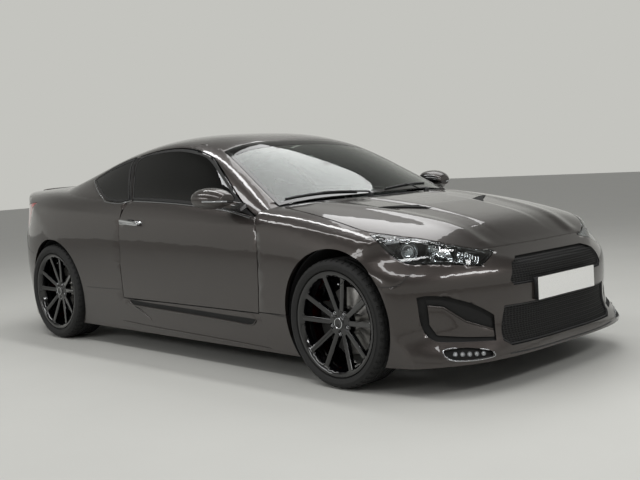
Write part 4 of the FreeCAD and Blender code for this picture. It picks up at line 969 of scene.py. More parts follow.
class COUPE_OT_headlamps(CoupeOperator):
    """Fill the headlamps: projector, reflectors, bezel and clear lens"""
    bl_idname = "coupe.headlamps"
    bl_label = "Headlamps"

    def execute(self, context):
        dressed("headlamps", "piano_black")
        dressed("headlamp_lenses", "lens_acrylic")
        lens = ray_target("headlamp_lenses")
        metal, glow, dark, marker = bmesh.new(), bmesh.new(), bmesh.new(), bmesh.new()
        aim = Vector((0.90, -0.43, -0.02)).normalized()
        centre = cast(lens, "corner", [(779, 686)])[0][0] - aim * 0.046
        for shape, profile, steps in (
                (metal, [(-0.004, 0.044), (0.012, 0.046), (0.018, 0.043), (0.010, 0.038), (-0.004, 0.036)], 48),
                (metal, [(-0.012, CORE), (-0.012, 0.0345), (-0.002, 0.0345), (-0.002, 0.030), (-0.006, CORE)], 40),
                (glow, [(-0.004, CORE), (-0.004, 0.029), (0.004, 0.0285), (0.012, 0.023), (0.018, 0.012),
                        (0.0195, CORE)], 40),
                (dark, [(-0.040, CORE), (-0.040, 0.050), (0.004, 0.052), (0.004, 0.045), (-0.006, 0.045),
                        (-0.006, CORE)], 48)):
            turned(shape, profile, centre, aim, steps)
        for corners, deep, ribs in ((((850, 728), (955, 712), (985, 650), (872, 648)), 0.034, 0),
                                    (((1010, 700), (1120, 676), (1104, 628), (998, 634)), 0.028, 9)):
            self.reflector(metal, lens, corners, deep, ribs)
        for a, b in ((905, 690), (1056, 662)):
            turned(glow, [(0, CORE), (0, 0.008), (0.014, 0.008), (0.020, 0.004), (0.021, CORE)],
                   cast(lens, "corner", [(a, b)])[0][0] - aim * 0.040, aim, 20)
        lid = drawn([(625, 752), (700, 757), (830, 745), (940, 722), (1060, 692), (1140, 666)], 60)
        lower = drawn([(640, 740), (688, 690), (735, 652), (800, 644), (940, 640), (1090, 620)], 60)
        turn = drawn([(652, 738), (690, 742), (720, 744)], 16)
        for shape, line, lift, wide, high in ((metal, lid, -0.010, 0.005, 0.004), (dark, lower, -0.016, 0.016, 0.010),
                                              (dark, even([(860, 736), (838, 646)], 14), -0.022, 0.014, 0.020),
                                              (dark, even([(990, 716), (992, 636)], 14), -0.022, 0.014, 0.020),
                                              (marker, turn, -0.018, 0.014, 0.010)):
            bar(shape, lens, "corner", line, lift, wide, high)
        solid_piece(metal, "lamp_reflectors", "body", "reflector", 40, True)
        solid_piece(glow, "lamp_projectors", "body", "lens_acrylic", 40, True)
        solid_piece(dark, "lamp_bezels", "body", "piano_black", 40, True)
        solid_piece(marker, "turn_markers", "body", "clear_ribbed", twin=True)
        self.lip_lamps()
        return {"FINISHED"}

    def reflector(self, shape, lens, corners, deep, ribs):
        """Bowl between four drawn corners behind the lens, ribbed or gently waved"""
        def place(u, v):
            return tuple((1 - v) * ((1 - u) * corners[0][i] + u * corners[1][i])
                         + v * ((1 - u) * corners[3][i] + u * corners[2][i]) for i in (0, 1))

        def rise(u, v, hit):
            wave = 0.0022 * abs(math.sin(math.pi * u * ribs)) if ribs else 0.004 * math.cos(9 * u + 5 * v)
            return -0.020 * math.sin(math.pi * u) * math.sin(math.pi * v) + wave
        draped(shape, lens, "corner", place, 36, 24, -deep, rise)

    def lip_lamps(self):
        """Row of five light-emitting diodes behind the oval openings of the chin"""
        back = ray_target("grilles")
        ring, lights, cups = bmesh.new(), bmesh.new(), bmesh.new()
        outline = even(inset(flat_through(LIP_LINE, closed=True), -3), 90, True)
        bar(ring, ray_target("front_bumper", "grilles"), "corner", outline, 0.0012, 0.006, 0.005, 8, True)
        for k in range(5):
            hit, normal = cast(back, "corner", [(946 + k * 34, 210 - k * 2.2)])[0]
            aim = (normal + Vector((0.5, -0.5, 0))).normalized()
            turned(cups, [(0.001, 0.0105), (0.006, 0.0125), (0.0075, 0.0115), (0.002, 0.008), (0.002, CORE)],
                   hit, aim, 20)
            turned(lights, [(0.0025, CORE), (0.0025, 0.007), (0.006, 0.006), (0.0085, 0.003), (0.009, CORE)],
                   hit, aim, 16)
        for shape, name, material in ((ring, "rims", "satin_chrome"), (lights, "diodes", "clear_ribbed"),
                                      (cups, "cups", "reflector")):
            solid_piece(shape, "lip_lamp_" + name, "body", material, 40, True)


class COUPE_OT_rear(CoupeOperator):
    """Finish the tail: lamps, third brake light, boot lip, reflectors, diffuser and the roof antenna"""
    bl_idname = "coupe.rear"
    bl_label = "Tail"

    def execute(self, context):
        dressed("tail_lamps", ["tail_acrylic", "clear_ribbed"], lambda p, n: p.z < 0.792)
        lens, edge = ray_target("tail_lamps"), bmesh.new()
        for z, wide in ((845, 0.010), (792, 0.005)):
            line = even([(y, z) for y in (-455, -560, -660, -760)], 40)
            bar(edge, lens, "rear", line, 0.0004, wide, 0.005)
        solid_piece(edge, "tail_light_guides", "body", "satin_chrome", twin=True)
        lip = bmesh.new()
        line = drawn([(-2150, -540), (-2172, -400), (-2186, -200), (-2190, 0), (-2186, 200), (-2172, 400),
                      (-2150, 540)], 80)
        bar(lip, ray_target("trunk_lid"), "plan", line, 0.001, 0.050, 0.022, 16,
            taper=lambda t: max(0.15, math.sin(math.pi * t) ** 0.25))
        solid_piece(lip, "boot_lip", "trunk_lid", "metallic_paint", 60)
        lamp = bmesh.new()
        draped(lamp, ray_target("rear_window"), "plan", lambda u, v: (-1500 - 22 * v, -130 + 260 * u), 20, 3)
        new_piece(lamp, "third_brake_light", "body", "tail_acrylic")
        self.bumper()
        self.antenna()
        return {"FINISHED"}

    def bumper(self):
        """Reflectors and diffuser of the rear bumper"""
        bumper = ray_target("rear_bumper")
        markers, fins = bmesh.new(), bmesh.new()
        for sign in (-1, 1):
            line = even([(sign * 560, 330), (sign * 640, 336), (sign * 720, 346)], 20)
            bar(markers, bumper, "rear", line, 0.001, 0.024, 0.008)
        solid_piece(markers, "rear_reflectors", "body", "tail_acrylic")
        for y in (-210, -105, 0, 105, 210):
            bar(fins, bumper, "rear", even([(y, 330), (y, 250), (y, 190)], 12), 0.001, 0.010, 0.030)
        draped(fins, bumper, "rear", lambda u, v: (-255 + 510 * u, 345 - 170 * v), 30, 10, 0.0012)
        solid_piece(fins, "rear_diffuser", "body", "black_abs")

    def antenna(self):
        """Fin on the roof: a ball that is drawn out along the car and leans back as it rises"""
        fin = bmesh.new()
        foot = cast(ray_target("roof"), "plan", [(-560, 0)])[0][0]
        for vert in bmesh.ops.create_uvsphere(fin, u_segments=24, v_segments=14, radius=1.0)["verts"]:
            along, across, up = vert.co
            rise = max(up, 0)
            vert.co = Vector((foot.x - 0.038 + along * 0.04 * (1 - 0.5 * rise) - 0.35 * rise * 0.03,
                              across * 0.011 * (1 - 0.4 * rise), foot.z - 0.004 + max(up, -0.25) * 0.024))
        solid_piece(fin, "roof_antenna", "body", "metallic_paint", 60)


class COUPE_OT_wheels(CoupeOperator):
    """Enamel the rims and fit lug nuts, centre caps and valves"""
    bl_idname = "coupe.wheels"
    bl_label = "Wheels"

    def execute(self, context):
        wheels = context.scene.coupe_wheels
        for name, sign in (("front_right", -1), ("front_left", 1), ("rear_right", -1), ("rear_left", 1)):
            dressed("rim_" + name, "rim_enamel", angle=28)
            low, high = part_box("rim_" + name)
            centre = (Vector(low) + Vector(high)) / 2
            self.hub(name, sign, centre, (high if sign > 0 else low)[1] - sign * 0.038, wheels.nut)
            self.tyre(name, sign, centre, wheels.groove, wheels.tread_pitch)
            dressed("brake_disc_" + name, "brake_iron", angle=28)
        return {"FINISHED"}

    def hub(self, name, sign, centre, face_y, nut):
        """Five lug nuts, the centre cap with its ring, and the valve"""
        out = Vector((0, sign, 0))
        bolt_circle = 0.05715
        nuts, cap, edge = bmesh.new(), bmesh.new(), bmesh.new()
        for k in range(5):
            turn = math.radians(36 + 72 * k)
            place = Vector((centre.x + bolt_circle * math.sin(turn), face_y - sign * 0.012,
                            centre.z + bolt_circle * math.cos(turn)))
            hexagon = bmesh.ops.create_cone(nuts, cap_ends=True, segments=6, radius1=nut / 2, radius2=nut / 2,
                                            depth=0.018, matrix=Matrix.Translation(place)
                                            @ Euler((math.pi / 2, 0, 0)).to_matrix().to_4x4())["verts"]
            bmesh.ops.bevel(nuts, geom=list({e for v in hexagon for e in v.link_edges}), offset=0.0015, segments=2,
                            profile=0.5, affect="EDGES", material=-1)
            turned(nuts, [(0.009, CORE), (0.009, nut * 0.36), (0.013, nut * 0.3), (0.0155, nut * 0.16),
                          (0.016, CORE)], place, out, 20)
        hub = Vector((centre.x, face_y, centre.z))
        turned(cap, [(0.0055, CORE), (0.0075, 0.012), (0.0078, 0.022), (0.0085, 0.0245), (0.0085, 0.028),
                     (0.007, 0.0305), (0.004, 0.0308), (0.004, CORE)], hub, out, 40)
        turned(edge, [(0.0078, 0.0235), (0.0095, 0.0250), (0.0095, 0.0270), (0.0078, 0.0285), (0.0070, 0.026),
                      (0.0078, 0.0235)], hub, out, 40)
        valve = Vector((centre.x + 0.05, centre.y + sign * 0.078, centre.z + 0.205))
        turned(edge, [(0, CORE), (0, 0.005), (0.018, 0.0035), (0.03, 0.0035), (0.034, CORE)], valve, out, 12)
        for shape, kind, material in ((nuts, "lug_nuts_", "satin_chrome"), (cap, "hub_cap_", "piano_black"),
                                      (edge, "hub_ring_", "chrome")):
            solid_piece(shape, kind + name, "wheel_" + name, material, 30)

    def tyre(self, name, sign, centre, groove, pitch):
        """Tyre turned from its section, with tread blocks cut into the shoulders"""
        low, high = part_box("tyre_" + name)
        # The section stays a little inside the CAD tyre, and starts at the rim's lip
        half = (high[1] - low[1]) / 2 - 0.0008
        radius = (high[2] - low[2]) / 2 - 0.0008
        lip = 0.268
        side = [(-half + 0.026, lip - 0.013), (-half + 0.016, lip - 0.004), (-half + 0.024, lip + 0.004),
                (-half + 0.008, lip + 0.008), (-half + 0.005, lip + 0.014), (-half + 0.0015, lip + 0.020),
                (-half + 0.0015, lip + 0.024), (-half, lip + 0.026), (-half, lip + 0.034),
                (-half + 0.002, radius - 0.030), (-half + 0.008, radius - 0.014), (-half + 0.014, radius - 0.008),
                (-half + 0.026, radius - 0.0035), (-half + 0.044, radius - 0.001)]
        tread = [(middle + across, radius - deep) for middle in (-0.055, -0.018, 0.018, 0.055)
                 for across, deep in ((-0.0055, 0), (-0.0045, groove), (0.0045, groove), (0.0055, 0))]
        shape = bmesh.new()
        middle = Vector((centre.x, (low[1] + high[1]) / 2, centre.z))
        turned(shape, side + tread + [(-a, r) for a, r in reversed(side)], middle, (0, sign, 0), pitch * 2)
        outwards(shape)
        shape.normal_update()
        blocks = []
        for face in shape.faces:
            spot = face.calc_center_median() - middle
            reach = math.hypot(spot.x, spot.z)
            step = int(math.floor(math.atan2(spot.x, spot.z) / math.tau * pitch * 2))
            if reach > radius - 0.012 and abs(spot.y) > 0.06 and step % 2 == 0:
                blocks.append(face)
            if reach > radius - 0.0015 and abs(spot.y) < 0.0125 and step % 4 == 1:
                blocks.append(face)
        bmesh.ops.inset_region(shape, faces=blocks, thickness=0.0012, use_even_offset=True)
        bmesh.ops.inset_individual(shape, faces=blocks, thickness=0.0015, depth=-0.0025)
        piece = new_piece(shape, "tyre_" + name + "_tread", "wheel_" + name, "tyre_rubber", 38)
        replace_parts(piece, "tyre_" + name)


class COUPE_OT_running_gear(CoupeOperator):
    """Finish the knuckles with their calipers, the subframes, the engine, the exhaust and the underbody"""
    bl_idname = "coupe.running_gear"
    bl_label = "Running gear"

    def execute(self, context):
        def caliper_or_iron(axle_x, disc_y):
            def pick(point, normal):
                spot = math.hypot(point.x - axle_x, point.z - WHEEL_HEIGHT)
                return abs(abs(point.y) - disc_y) < 0.045 and 0.10 < spot < 0.2 and point.x < axle_x - 0.05
            return pick

        def floor_or_coat(point, normal):
            cabin = -0.95 < point.x < 1.0 and abs(point.y) < 0.745 and 0.17 < point.z < 0.95
            boot = -2.15 < point.x < -0.93 and point.z > 0.375
            return (cabin and normal.z > -0.5) or (boot and normal.z > 0.5)
        iron = ["chassis_iron", "caliper_enamel"]
        dressed("knuckle_right", iron, caliper_or_iron(FRONT_AXLE, 0.752))
        dressed("knuckle_left", iron, caliper_or_iron(FRONT_AXLE, 0.752))
        dressed("rear_subframe", iron, caliper_or_iron(-1.3075, 0.747))
        dressed("front_subframe", "chassis_iron")
        dressed("engine", "cast_alloy")
        dressed("exhaust", ["stainless", "chrome"], lambda p, n: p.x < -2.11)
        dressed("underbody", ["underbody_coat", "carpet"], floor_or_coat)
        self.springs()
        self.engine_bay()
        return {"FINISHED"}

    def springs(self):
        """Coil springs round the dampers"""
        shape, turns, steps = bmesh.new(), 6, 20
        for sign in (-1, 1):
            for x, y, low, high, radius in ((FRONT_AXLE, 0.5795, 0.44, 0.64, 0.066),
                                            (-1.3675, 0.572, 0.40, 0.58, 0.056)):
                stations = []
                for k in range(turns * steps + 1):
                    turn = math.tau * k / steps
                    out = Vector((math.cos(turn), math.sin(turn), 0))
                    place = Vector((x, sign * y, low + (high - low) * k / (turns * steps)))
                    stations.append((place + out * radius, out))
                sweep(shape, stations, 0.012, 0.012)
        solid_piece(shape, "coil_springs", "body", "caliper_enamel", 40)

    def engine_bay(self):
        """Cover, air box, battery and belt pulleys that show with the hood up"""
        low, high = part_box("engine")
        rear = low[0]
        cover, black, bright = bmesh.new(), bmesh.new(), bmesh.new()
        for k in range(4):
            rounded_box(cover, (rear + 0.04 + k * 0.085, -0.15, 0.64), (rear + 0.105 + k * 0.085, 0.15, 0.705), 0.014)
        rounded_box(black, (rear + 0.02, 0.275, 0.50), (rear + 0.27, 0.42, 0.66), 0.02)
        rounded_box(black, (rear + 0.04, -0.415, 0.52), (rear + 0.22, -0.27, 0.64), 0.012)
        for y, z, r in ((0.0, 0.36, 0.085), (0.13, 0.46, 0.05), (-0.13, 0.47, 0.055)):
            turned(bright, [(0, CORE), (0, r), (0.006, r), (0.010, r - 0.006), (0.022, r - 0.006), (0.026, r),
                            (0.032, r), (0.032, r * 0.5), (0.022, CORE)], (high[0] - 0.004, y, z), (1, 0, 0), 32)
        for shape, name, material in ((cover, "engine_cover", "black_abs"), (black, "air_box_and_battery", "black_abs"),
                                      (bright, "belt_pulleys", "satin_chrome")):
            solid_piece(shape, name, "body", material)


class COUPE_OT_mirrors(CoupeOperator):
    """Finish the door mirrors with their glass, dark band and clear repeater lamp"""
    bl_idname = "coupe.mirrors"
    bl_label = "Door mirrors"

    def execute(self, context):
        for side, sign in (RIGHT, LEFT):
            body = "door_" + side
            dressed("mirror_" + side, ["metallic_paint", "piano_black"],
                    lambda p, n: abs(p.y) < 0.895 or (p.z < 0.942 and abs(p.y) < 0.93), 45)
            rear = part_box("mirror_" + side)[0][0]
            target = ray_target("mirror_" + side)
            glass, band, clear = bmesh.new(), bmesh.new(), bmesh.new()
            for vert in bmesh.ops.create_circle(glass, segments=48, radius=1.0, cap_ends=True)["verts"]:
                vert.co = Vector((rear - 0.0004, sign * (0.975 + vert.co.x * 0.080), 0.979 + vert.co.y * 0.047))
            glass.faces.ensure_lookup_table()
            if glass.faces[0].normal.x > 0:
                bmesh.ops.reverse_faces(glass, faces=glass.faces)
            new_piece(glass, "mirror_glass_" + side, body, "mirror_glass")
            line, strip = [], []
            for k in range(28):
                start = Vector((3, sign * (0.905 + 0.155 * k / 27), 0.957 + 0.010 * k / 27))
                hit, normal = target.ray_cast(start, Vector((-1, 0, 0)))[:2]
                if hit is not None:
                    line.append((hit + normal * 0.0006, normal))
                    if k > 8:
                        strip.append((hit + normal * 0.0016, normal))
            sweep(band, line, 0.013, 0.003)
            sweep(clear, strip, 0.009, 0.004)
            solid_piece(band, "mirror_band_" + side, body, "piano_black")
            solid_piece(clear, "mirror_repeater_" + side, body, "clear_ribbed")
        return {"FINISHED"}


class COUPE_OT_front_trim(CoupeOperator):
    """Fit the wipers, the cowl and the blank number plates"""
    bl_idname = "coupe.front_trim"
    bl_label = "Wipers, cowl and plates"

    def execute(self, context):
        dressed("cowl", "black_abs")
        screen = ray_target("windscreen", "cowl", "wipers")
        shape, rubber = bmesh.new(), bmesh.new()
        for start, end, pivot in (((984, -205), (884, -680), (1012, -120)), ((918, 480), (990, 20), (1002, 400))):
            line = even([start, end], 40)
            bar(rubber, screen, "plan", line, 0.004, 0.006, 0.012, 6)
            bar(shape, screen, "plan", line, 0.013, 0.014, 0.006, taper=pointed(0.5, 0.3))
            arm = even([pivot, tuple((a + b) / 2 for a, b in zip(start, end))], 20)
            bar(shape, screen, "plan", arm, 0.017, 0.013, 0.009, taper=lambda t: 1.2 - 0.5 * t)
            turned(shape, [(0, CORE), (0, 0.017), (0.016, 0.016), (0.022, 0.012), (0.024, CORE)],
                   cast(screen, "plan", [pivot])[0][0], (0.25, 0, 0.97), 24)
        arms = solid_piece(shape, "wiper_arms", "body", "black_abs", 40)
        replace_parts(arms, "wipers")
        solid_piece(rubber, "wiper_rubbers", "body", "seal_rubber", 40)
        dressed("plates", ["black_abs", "plate_film"],
                lambda p, n: abs(n.x) > 0.9 and abs(p.y) < 0.27 and (n.x > 0) == (p.x > 0))
        frames, bolts = bmesh.new(), bmesh.new()
        for x, z0, z1, out in ((2.2915, 0.412, 0.522, 1), (-2.2915, 0.580, 0.690, -1)):
            corners = [(-0.257, z0 + 0.003), (0.257, z0 + 0.003), (0.257, z1 - 0.003), (-0.257, z1 - 0.003)]
            sweep(frames, [(Vector((x - out * 0.002, y, z)), Vector((out, 0, 0)))
                           for y, z in even(corners, 120, True)], 0.007, 0.004, 8, True)
            for y in (-0.19, 0.19):
                turned(bolts, [(-0.002, CORE), (-0.002, 0.008), (-0.0004, 0.0075), (-0.0002, CORE)],
                       (x, y, (z0 + z1) / 2 + 0.034), (out, 0, 0), 20)
        solid_piece(frames, "plate_frames", "body", "black_abs")
        solid_piece(bolts, "plate_bolts", "body", "chrome")
        return {"FINISHED"}


class COUPE_OT_seats(CoupeOperator):
    """Build the seat shells and swell the pads by cloth simulation"""
    bl_idname = "coupe.seats"
    bl_label = "Seats"

    def execute(self, context):
        pressure = context.scene.coupe_cabin.pressure
        middle = Vector((DRAWING_OFFSET * MM, 0, 0))
        lean, tip = [Matrix.Rotation(math.radians(angle), 3, "Y") for angle in (-20, -12)]

        def box(shape, x0, x1, y, half, z0, z1, radius, turn=None, hinge=(0, 0, 0)):
            rounded_box(shape, middle + Vector((x0, y - half, z0)), middle + Vector((x1, y + half, z1)), radius, turn,
                        middle + Vector(hinge))
        shells = bmesh.new()
        for sign in (-1, 1):
            y = sign * SEAT_Y
            box(shells, -0.30, 0.15, y, 0.20, 0.18, 0.33, 0.02)
            box(shells, -0.50, -0.455, y, 0.235, 0.40, 0.93, 0.02, lean, (-0.37, y, 0.40))
            for dy in (-0.05, 0.05):
                turned(shells, [(0, CORE), (0, 0.006), (0.12, 0.006), (0.12, CORE)],
                       middle + Vector((-0.475, y + dy, 0.905)), (-0.36, 0, 0.93), 12)
        seat_frames = solid_piece(shells, "seat_shells", "body", "black_abs")
        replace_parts(seat_frames, "front_seats")
        # How far a pad's points may move, where its boxes lie across the seat, and their sizes, tilt and hinge
        for side, sign in (RIGHT, LEFT):
            y = sign * SEAT_Y
            for name, cap, across, *sizes in (
                    ("seat_cushion_", 0.012, (0,), -0.31, 0.18, 0.17, 0.315, 0.425),
                    ("seat_bolsters_", 0.008, (-0.205, 0.205), -0.30, 0.16, 0.038, 0.315, 0.455),
                    ("seat_back_", 0.012, (0,), -0.40, -0.305, 0.165, 0.42, 0.97, lean, (-0.29, y, 0.40)),
                    ("seat_wings_", 0.008, (-0.20, 0.20), -0.41, -0.285, 0.040, 0.42, 0.90, lean, (-0.29, y, 0.40)),
                    ("head_rest_", 0.008, (0,), -0.585, -0.50, 0.125, 0.985, 1.12, tip, (-0.495, y, 0.985))):
                shape = bmesh.new()
                x0, x1, half, z0, z1, *tilt = sizes
                for dy in across:
                    box(shape, x0, x1, y + dy, half, z0, z1, 0.035, *tilt)
                self.pad(shape, name + side, pressure, cap)
        bench, backs = bmesh.new(), bmesh.new()
        for sign in (-1, 1):
            box(bench, -0.96, -0.65, sign * 0.29, 0.26, 0.335, 0.45, 0.04)
            box(backs, -0.975, -0.89, sign * 0.28, 0.26, 0.44, 0.91, 0.035)
        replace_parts(self.pad(bench, "rear_bench", pressure, 0.010), "rear_seat")
        self.pad(backs, "rear_backrest", pressure, 0.008)
        return {"FINISHED"}

    def pad(self, shape, name, pressure, cap):
        """Leather pad swelled from a slightly smaller shape. cap is how far a point may move."""
        outwards(shape)
        mesh = bpy.data.meshes.new(name)
        shape.to_mesh(mesh)
        shape.free()
        piece = bpy.data.objects.new(name, mesh)
        scene = bpy.context.scene
        scene.collection.objects.link(piece)
        remesh = piece.modifiers.new("Remesh", "REMESH")
        remesh.mode, remesh.voxel_size, remesh.use_smooth_shade = "VOXEL", PAD_VOXEL, True
        apply_modifiers(piece)
        rest = [v.co.copy() for v in piece.data.vertices]
        cloth = piece.modifiers.new("Cloth", "CLOTH")
        cloth.settings.use_pressure = True
        cloth.settings.uniform_pressure_force = pressure
        cloth.settings.effector_weights.gravity = 0.0
        cloth.point_cache.frame_start, cloth.point_cache.frame_end = 1, PAD_FRAMES
        for number in range(1, PAD_FRAMES + 1):
            scene.frame_set(number)
        apply_modifiers(piece)
        scene.frame_set(1)
        for vert, start in zip(piece.data.vertices, rest):
            move = vert.co - start
            if move.length > cap:
                vert.co = start + move.normalized() * cap
        piece.data.materials.clear()
        piece.data.materials.append(finish("leather"))
        piece.data.shade_smooth()
        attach(piece, "body")
        return piece


class COUPE_OT_cabin(CoupeOperator):
    """Fit out the dashboard, console, steering wheel, pedals and inner mirror"""
    bl_idname = "coupe.cabin"
    bl_label = "Cabin"

    def execute(self, context):
        dressed("dashboard", "dashboard_skin")
        dressed("steering_wheel", "leather", angle=50)
        black, bright, glossy, soft = bmesh.new(), bmesh.new(), bmesh.new(), bmesh.new()
        for shape, low, high, radius in (
                (soft, (0.60, 0.19, 0.868), (0.80, 0.55, 0.935), 0.03),
                (glossy, (0.572, -0.115, 0.69), (0.60, 0.115, 0.85), 0.008),
                (black, (0.60, -0.66, 0.63), (0.615, -0.16, 0.69), 0.006)):
            rounded_box(shape, low, high, radius)
        for y in (-0.62, -0.17, 0.17, 0.62):
            turned(bright, [(0, 0.030), (0, 0.036), (0.008, 0.038), (0.010, 0.034), (0.004, 0.030), (0, 0.030)],
                   (0.575, y, 0.80), (-1, 0, 0.2), 32)
        for y in (0.31, 0.43):
            turned(bright, [(0, 0.040), (0, 0.046), (0.006, 0.046), (0.006, 0.040), (0, 0.040)], (0.592, y, 0.895),
                   (-1, 0, 0.3), 40)
        turned(bright, [(0, CORE), (0, 0.030), (0.006, 0.028), (0.008, CORE)], (0.30, 0, 0.600), (0, 0, 1), 32)
        turned(black, [(0, CORE), (0, 0.05), (0.03, 0.02), (0.075, 0.008), (0.09, 0.008), (0.095, 0.022),
                       (0.12, 0.026), (0.14, 0.018), (0.145, CORE)], (0.24, 0, 0.478), (-0.1, 0, 1), 28)
        for y in (0.26, 0.34, 0.42):
            rounded_box(bright, (0.84, y - 0.025, 0.26), (0.85, y + 0.025, 0.34), 0.004,
                        Matrix.Rotation(math.radians(25), 3, "Y"))
            rounded_box(black, (0.858, y - 0.006, 0.30), (0.94, y + 0.006, 0.318), 0.004)
        rounded_box(glossy, (0.255, -0.115, 1.185), (0.275, 0.115, 1.245), 0.009)
        rounded_box(glossy, (0.276, -0.012, 1.20), (0.34, 0.012, 1.225), 0.006)
        for shape, name, material in ((soft, "instrument_hood", "dashboard_skin"),
                                      (black, "console_fittings", "black_abs"),
                                      (bright, "dashboard_rings", "satin_chrome"),
                                      (glossy, "centre_screen", "piano_black")):
            solid_piece(shape, name, "body", material)
        for name, material, profile, steps in (
                ("horn_pad", "dashboard_skin", [(0.010, CORE), (0.010, 0.066), (0.018, 0.066), (0.026, 0.058),
                                                (0.030, 0.03), (0.031, CORE)], 40),
                ("horn_cap", "satin_chrome", [(0.0305, CORE), (0.0305, 0.014), (0.033, 0.013), (0.0335, CORE)], 24)):
            shape = bmesh.new()
            turned(shape, profile, Vector((0.4935, 0.370, 0.790)), (-0.9404, 0, 0.3402), steps)
            solid_piece(shape, name, "steering_wheel", material)
        return {"FINISHED"}


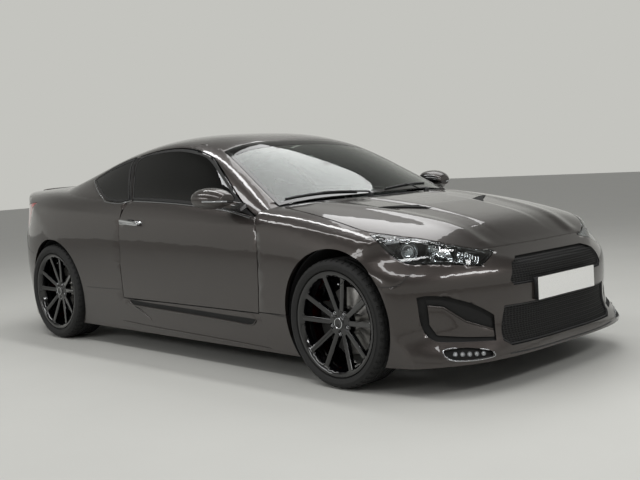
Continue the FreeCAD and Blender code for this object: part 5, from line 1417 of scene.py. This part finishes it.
class COUPE_OT_stage(CoupeOperator):
    """Set the floor, backdrop, soft lamps and camera"""
    bl_idname = "coupe.stage"
    bl_label = "Stage"

    def execute(self, context):
        stage, scene = context.scene.coupe_stage, context.scene
        self.floor(scene, stage.floor)
        self.lamps(scene, stage.key, stage.fill)
        self.room(scene, stage)
        self.camera(scene)
        scene.view_settings.view_transform = "Standard"
        return {"FINISHED"}

    def floor(self, scene, tone):
        """Plain floor round the car"""
        shape = bmesh.new()
        bmesh.ops.create_grid(shape, x_segments=60, y_segments=60, size=30.0)
        floor_mesh = bpy.data.meshes.new("studio_floor")
        shape.to_mesh(floor_mesh)
        shape.free()
        material, tree, place = begin("studio_concrete")
        # Sealed concrete of the studio: even pale grey with faint cloudy patches and a soft shine
        end(tree, {"Base Color": blotched(tree, place, 0.6, tone, darker(tone, 0.94)), "Roughness": 0.62})
        floor_mesh.materials.append(material)
        floor = bpy.data.objects.new("studio_floor", floor_mesh)
        scene.collection.objects.link(floor)

    def lamps(self, scene, key, fill):
        """Soft panels: one at the ceiling, three strips and a wash from the right"""
        for name, place, aim, size, power in (
                ("ceiling", (-1.0, 3.0, 5.2), (0.5, 0, 0.9), (3.4, 3.0), key * 0.6),
                ("near_strip", (0.5, -2.6, 4.6), (0.5, 0, 0.6), (8.0, 0.5), fill),
                ("far_strip", (0.5, 0.4, 5.0), (0.5, 0, 0.6), (8.0, 0.4), fill),
                ("front_strip", (6.5, -0.6, 4.0), (1.5, 0, 0.5), (4.0, 0.6), fill),
                ("side_wash", (-1.5, -8.0, 3.4), (-0.3, 0, 0.6), (6.0, 1.0), fill * 1.3)):
            light = bpy.data.lights.new(name + "_softbox", "AREA")
            light.shape, light.size, light.size_y, light.energy = "RECTANGLE", size[0], size[1], power
            lamp = bpy.data.objects.new(name + "_softbox", light)
            lamp.location = place
            lamp.rotation_euler = (Vector(aim) - Vector(place)).to_track_quat("-Z", "Y").to_euler()
            scene.collection.objects.link(lamp)

    def room(self, scene, stage):
        """Even light of the room, with a backdrop where the camera, a reflection or a window looks at it"""
        world = bpy.data.worlds.new("studio_room")
        world.use_nodes = True
        tree = world.node_tree
        tree.nodes.clear()
        place = add_node(tree, "ShaderNodeTexCoord").outputs["Generated"]
        height = add_node(tree, "ShaderNodeSeparateXYZ", {"Vector": place}).outputs["Z"]

        def climb(start, stop, low, high):
            return add_node(tree, "ShaderNodeMapRange", {"Value": height, "From Min": start, "From Max": stop,
                                                         "To Min": low, "To Max": high}).outputs["Result"]
        lit = add_node(tree, "ShaderNodeBackground", {
            "Color": (1, 1, 1, 1), "Strength": climb(-0.2, 0.7, stage.sky * 0.45, stage.sky * 1.5)})
        # The backdrop stays as pale as the floor up to eye level and darkens towards the ceiling
        backdrop = two_tones(tree, climb(0.25, 0.6, 0.0, 1.0), stage.floor, darker(stage.floor, stage.ceiling))
        seen = add_node(tree, "ShaderNodeBackground", {"Color": backdrop, "Strength": 1.0})
        path = add_node(tree, "ShaderNodeLightPath")
        shown = path.outputs["Is Camera Ray"]
        for kind in ("Is Glossy Ray", "Is Transmission Ray"):
            shown = add_node(tree, "ShaderNodeMath", {0: shown, 1: path.outputs[kind]},
                             operation="ADD").outputs["Value"]
        mixed = add_node(tree, "ShaderNodeMixShader", {"Fac": shown, 1: lit.outputs["Background"],
                                                       2: seen.outputs["Background"]})
        add_node(tree, "ShaderNodeOutputWorld", {"Surface": mixed.outputs["Shader"]})
        scene.world = world

    def camera(self, scene):
        """The photo's camera, fitted to it: focal length in mm, axes and place"""
        data = bpy.data.cameras.new("photo_camera")
        data.sensor_width, data.lens = 36.0, 53.144
        camera = bpy.data.objects.new("photo_camera", data)
        right = Vector((0.69218427, 0.71916666, -0.06066512))
        up = Vector((-0.01802541, 0.10125653, 0.99469704))
        back = Vector((0.72149568, -0.68742013, 0.08305145))
        axes = Matrix((right, up, back)).transposed().to_4x4()
        camera.matrix_world = Matrix.Translation((4.87455, -4.17038, 1.15008)) @ axes
        scene.collection.objects.link(camera)
        scene.camera = camera


STEPS = (COUPE_OT_stage, COUPE_OT_panels, COUPE_OT_skirts, COUPE_OT_doors, COUPE_OT_glass, COUPE_OT_grilles,
         COUPE_OT_headlamps, COUPE_OT_rear, COUPE_OT_wheels, COUPE_OT_running_gear, COUPE_OT_mirrors,
         COUPE_OT_front_trim, COUPE_OT_cabin, COUPE_OT_seats)
SETTINGS = {"coupe_paint": PaintSettings, "coupe_glass": GlassSettings, "coupe_wheels": WheelSettings,
            "coupe_trim": TrimSettings, "coupe_cabin": CabinSettings, "coupe_stage": StageSettings}


class COUPE_PT_sidebar(bpy.types.Panel):
    """Buttons for each group of pieces, and their settings"""
    bl_idname = "COUPE_PT_sidebar"
    bl_label = "Coupe"
    bl_space_type = "VIEW_3D"
    bl_region_type = "UI"
    bl_category = "Coupe"

    def draw(self, context):
        for step in STEPS:
            self.layout.operator(step.bl_idname)
        for name, group in SETTINGS.items():
            box = self.layout.box()
            box.label(text=name.replace("coupe_", "").title())
            for setting in group.__annotations__:
                box.prop(getattr(context.scene, name), setting)


def register():
    for group in SETTINGS.values():
        bpy.utils.register_class(group)
    for step in STEPS:
        bpy.utils.register_class(step)
    bpy.utils.register_class(COUPE_PT_sidebar)
    for name, group in SETTINGS.items():
        setattr(bpy.types.Scene, name, bpy.props.PointerProperty(type=group))


def unregister():
    for name in SETTINGS:
        delattr(bpy.types.Scene, name)
    bpy.utils.unregister_class(COUPE_PT_sidebar)
    for made in reversed(list(SETTINGS.values()) + list(STEPS)):
        bpy.utils.unregister_class(made)


def main():
    register()
    for step in STEPS:
        getattr(bpy.ops.coupe, step.bl_idname.split(".")[1])()


if __name__ == "__main__":
    main()
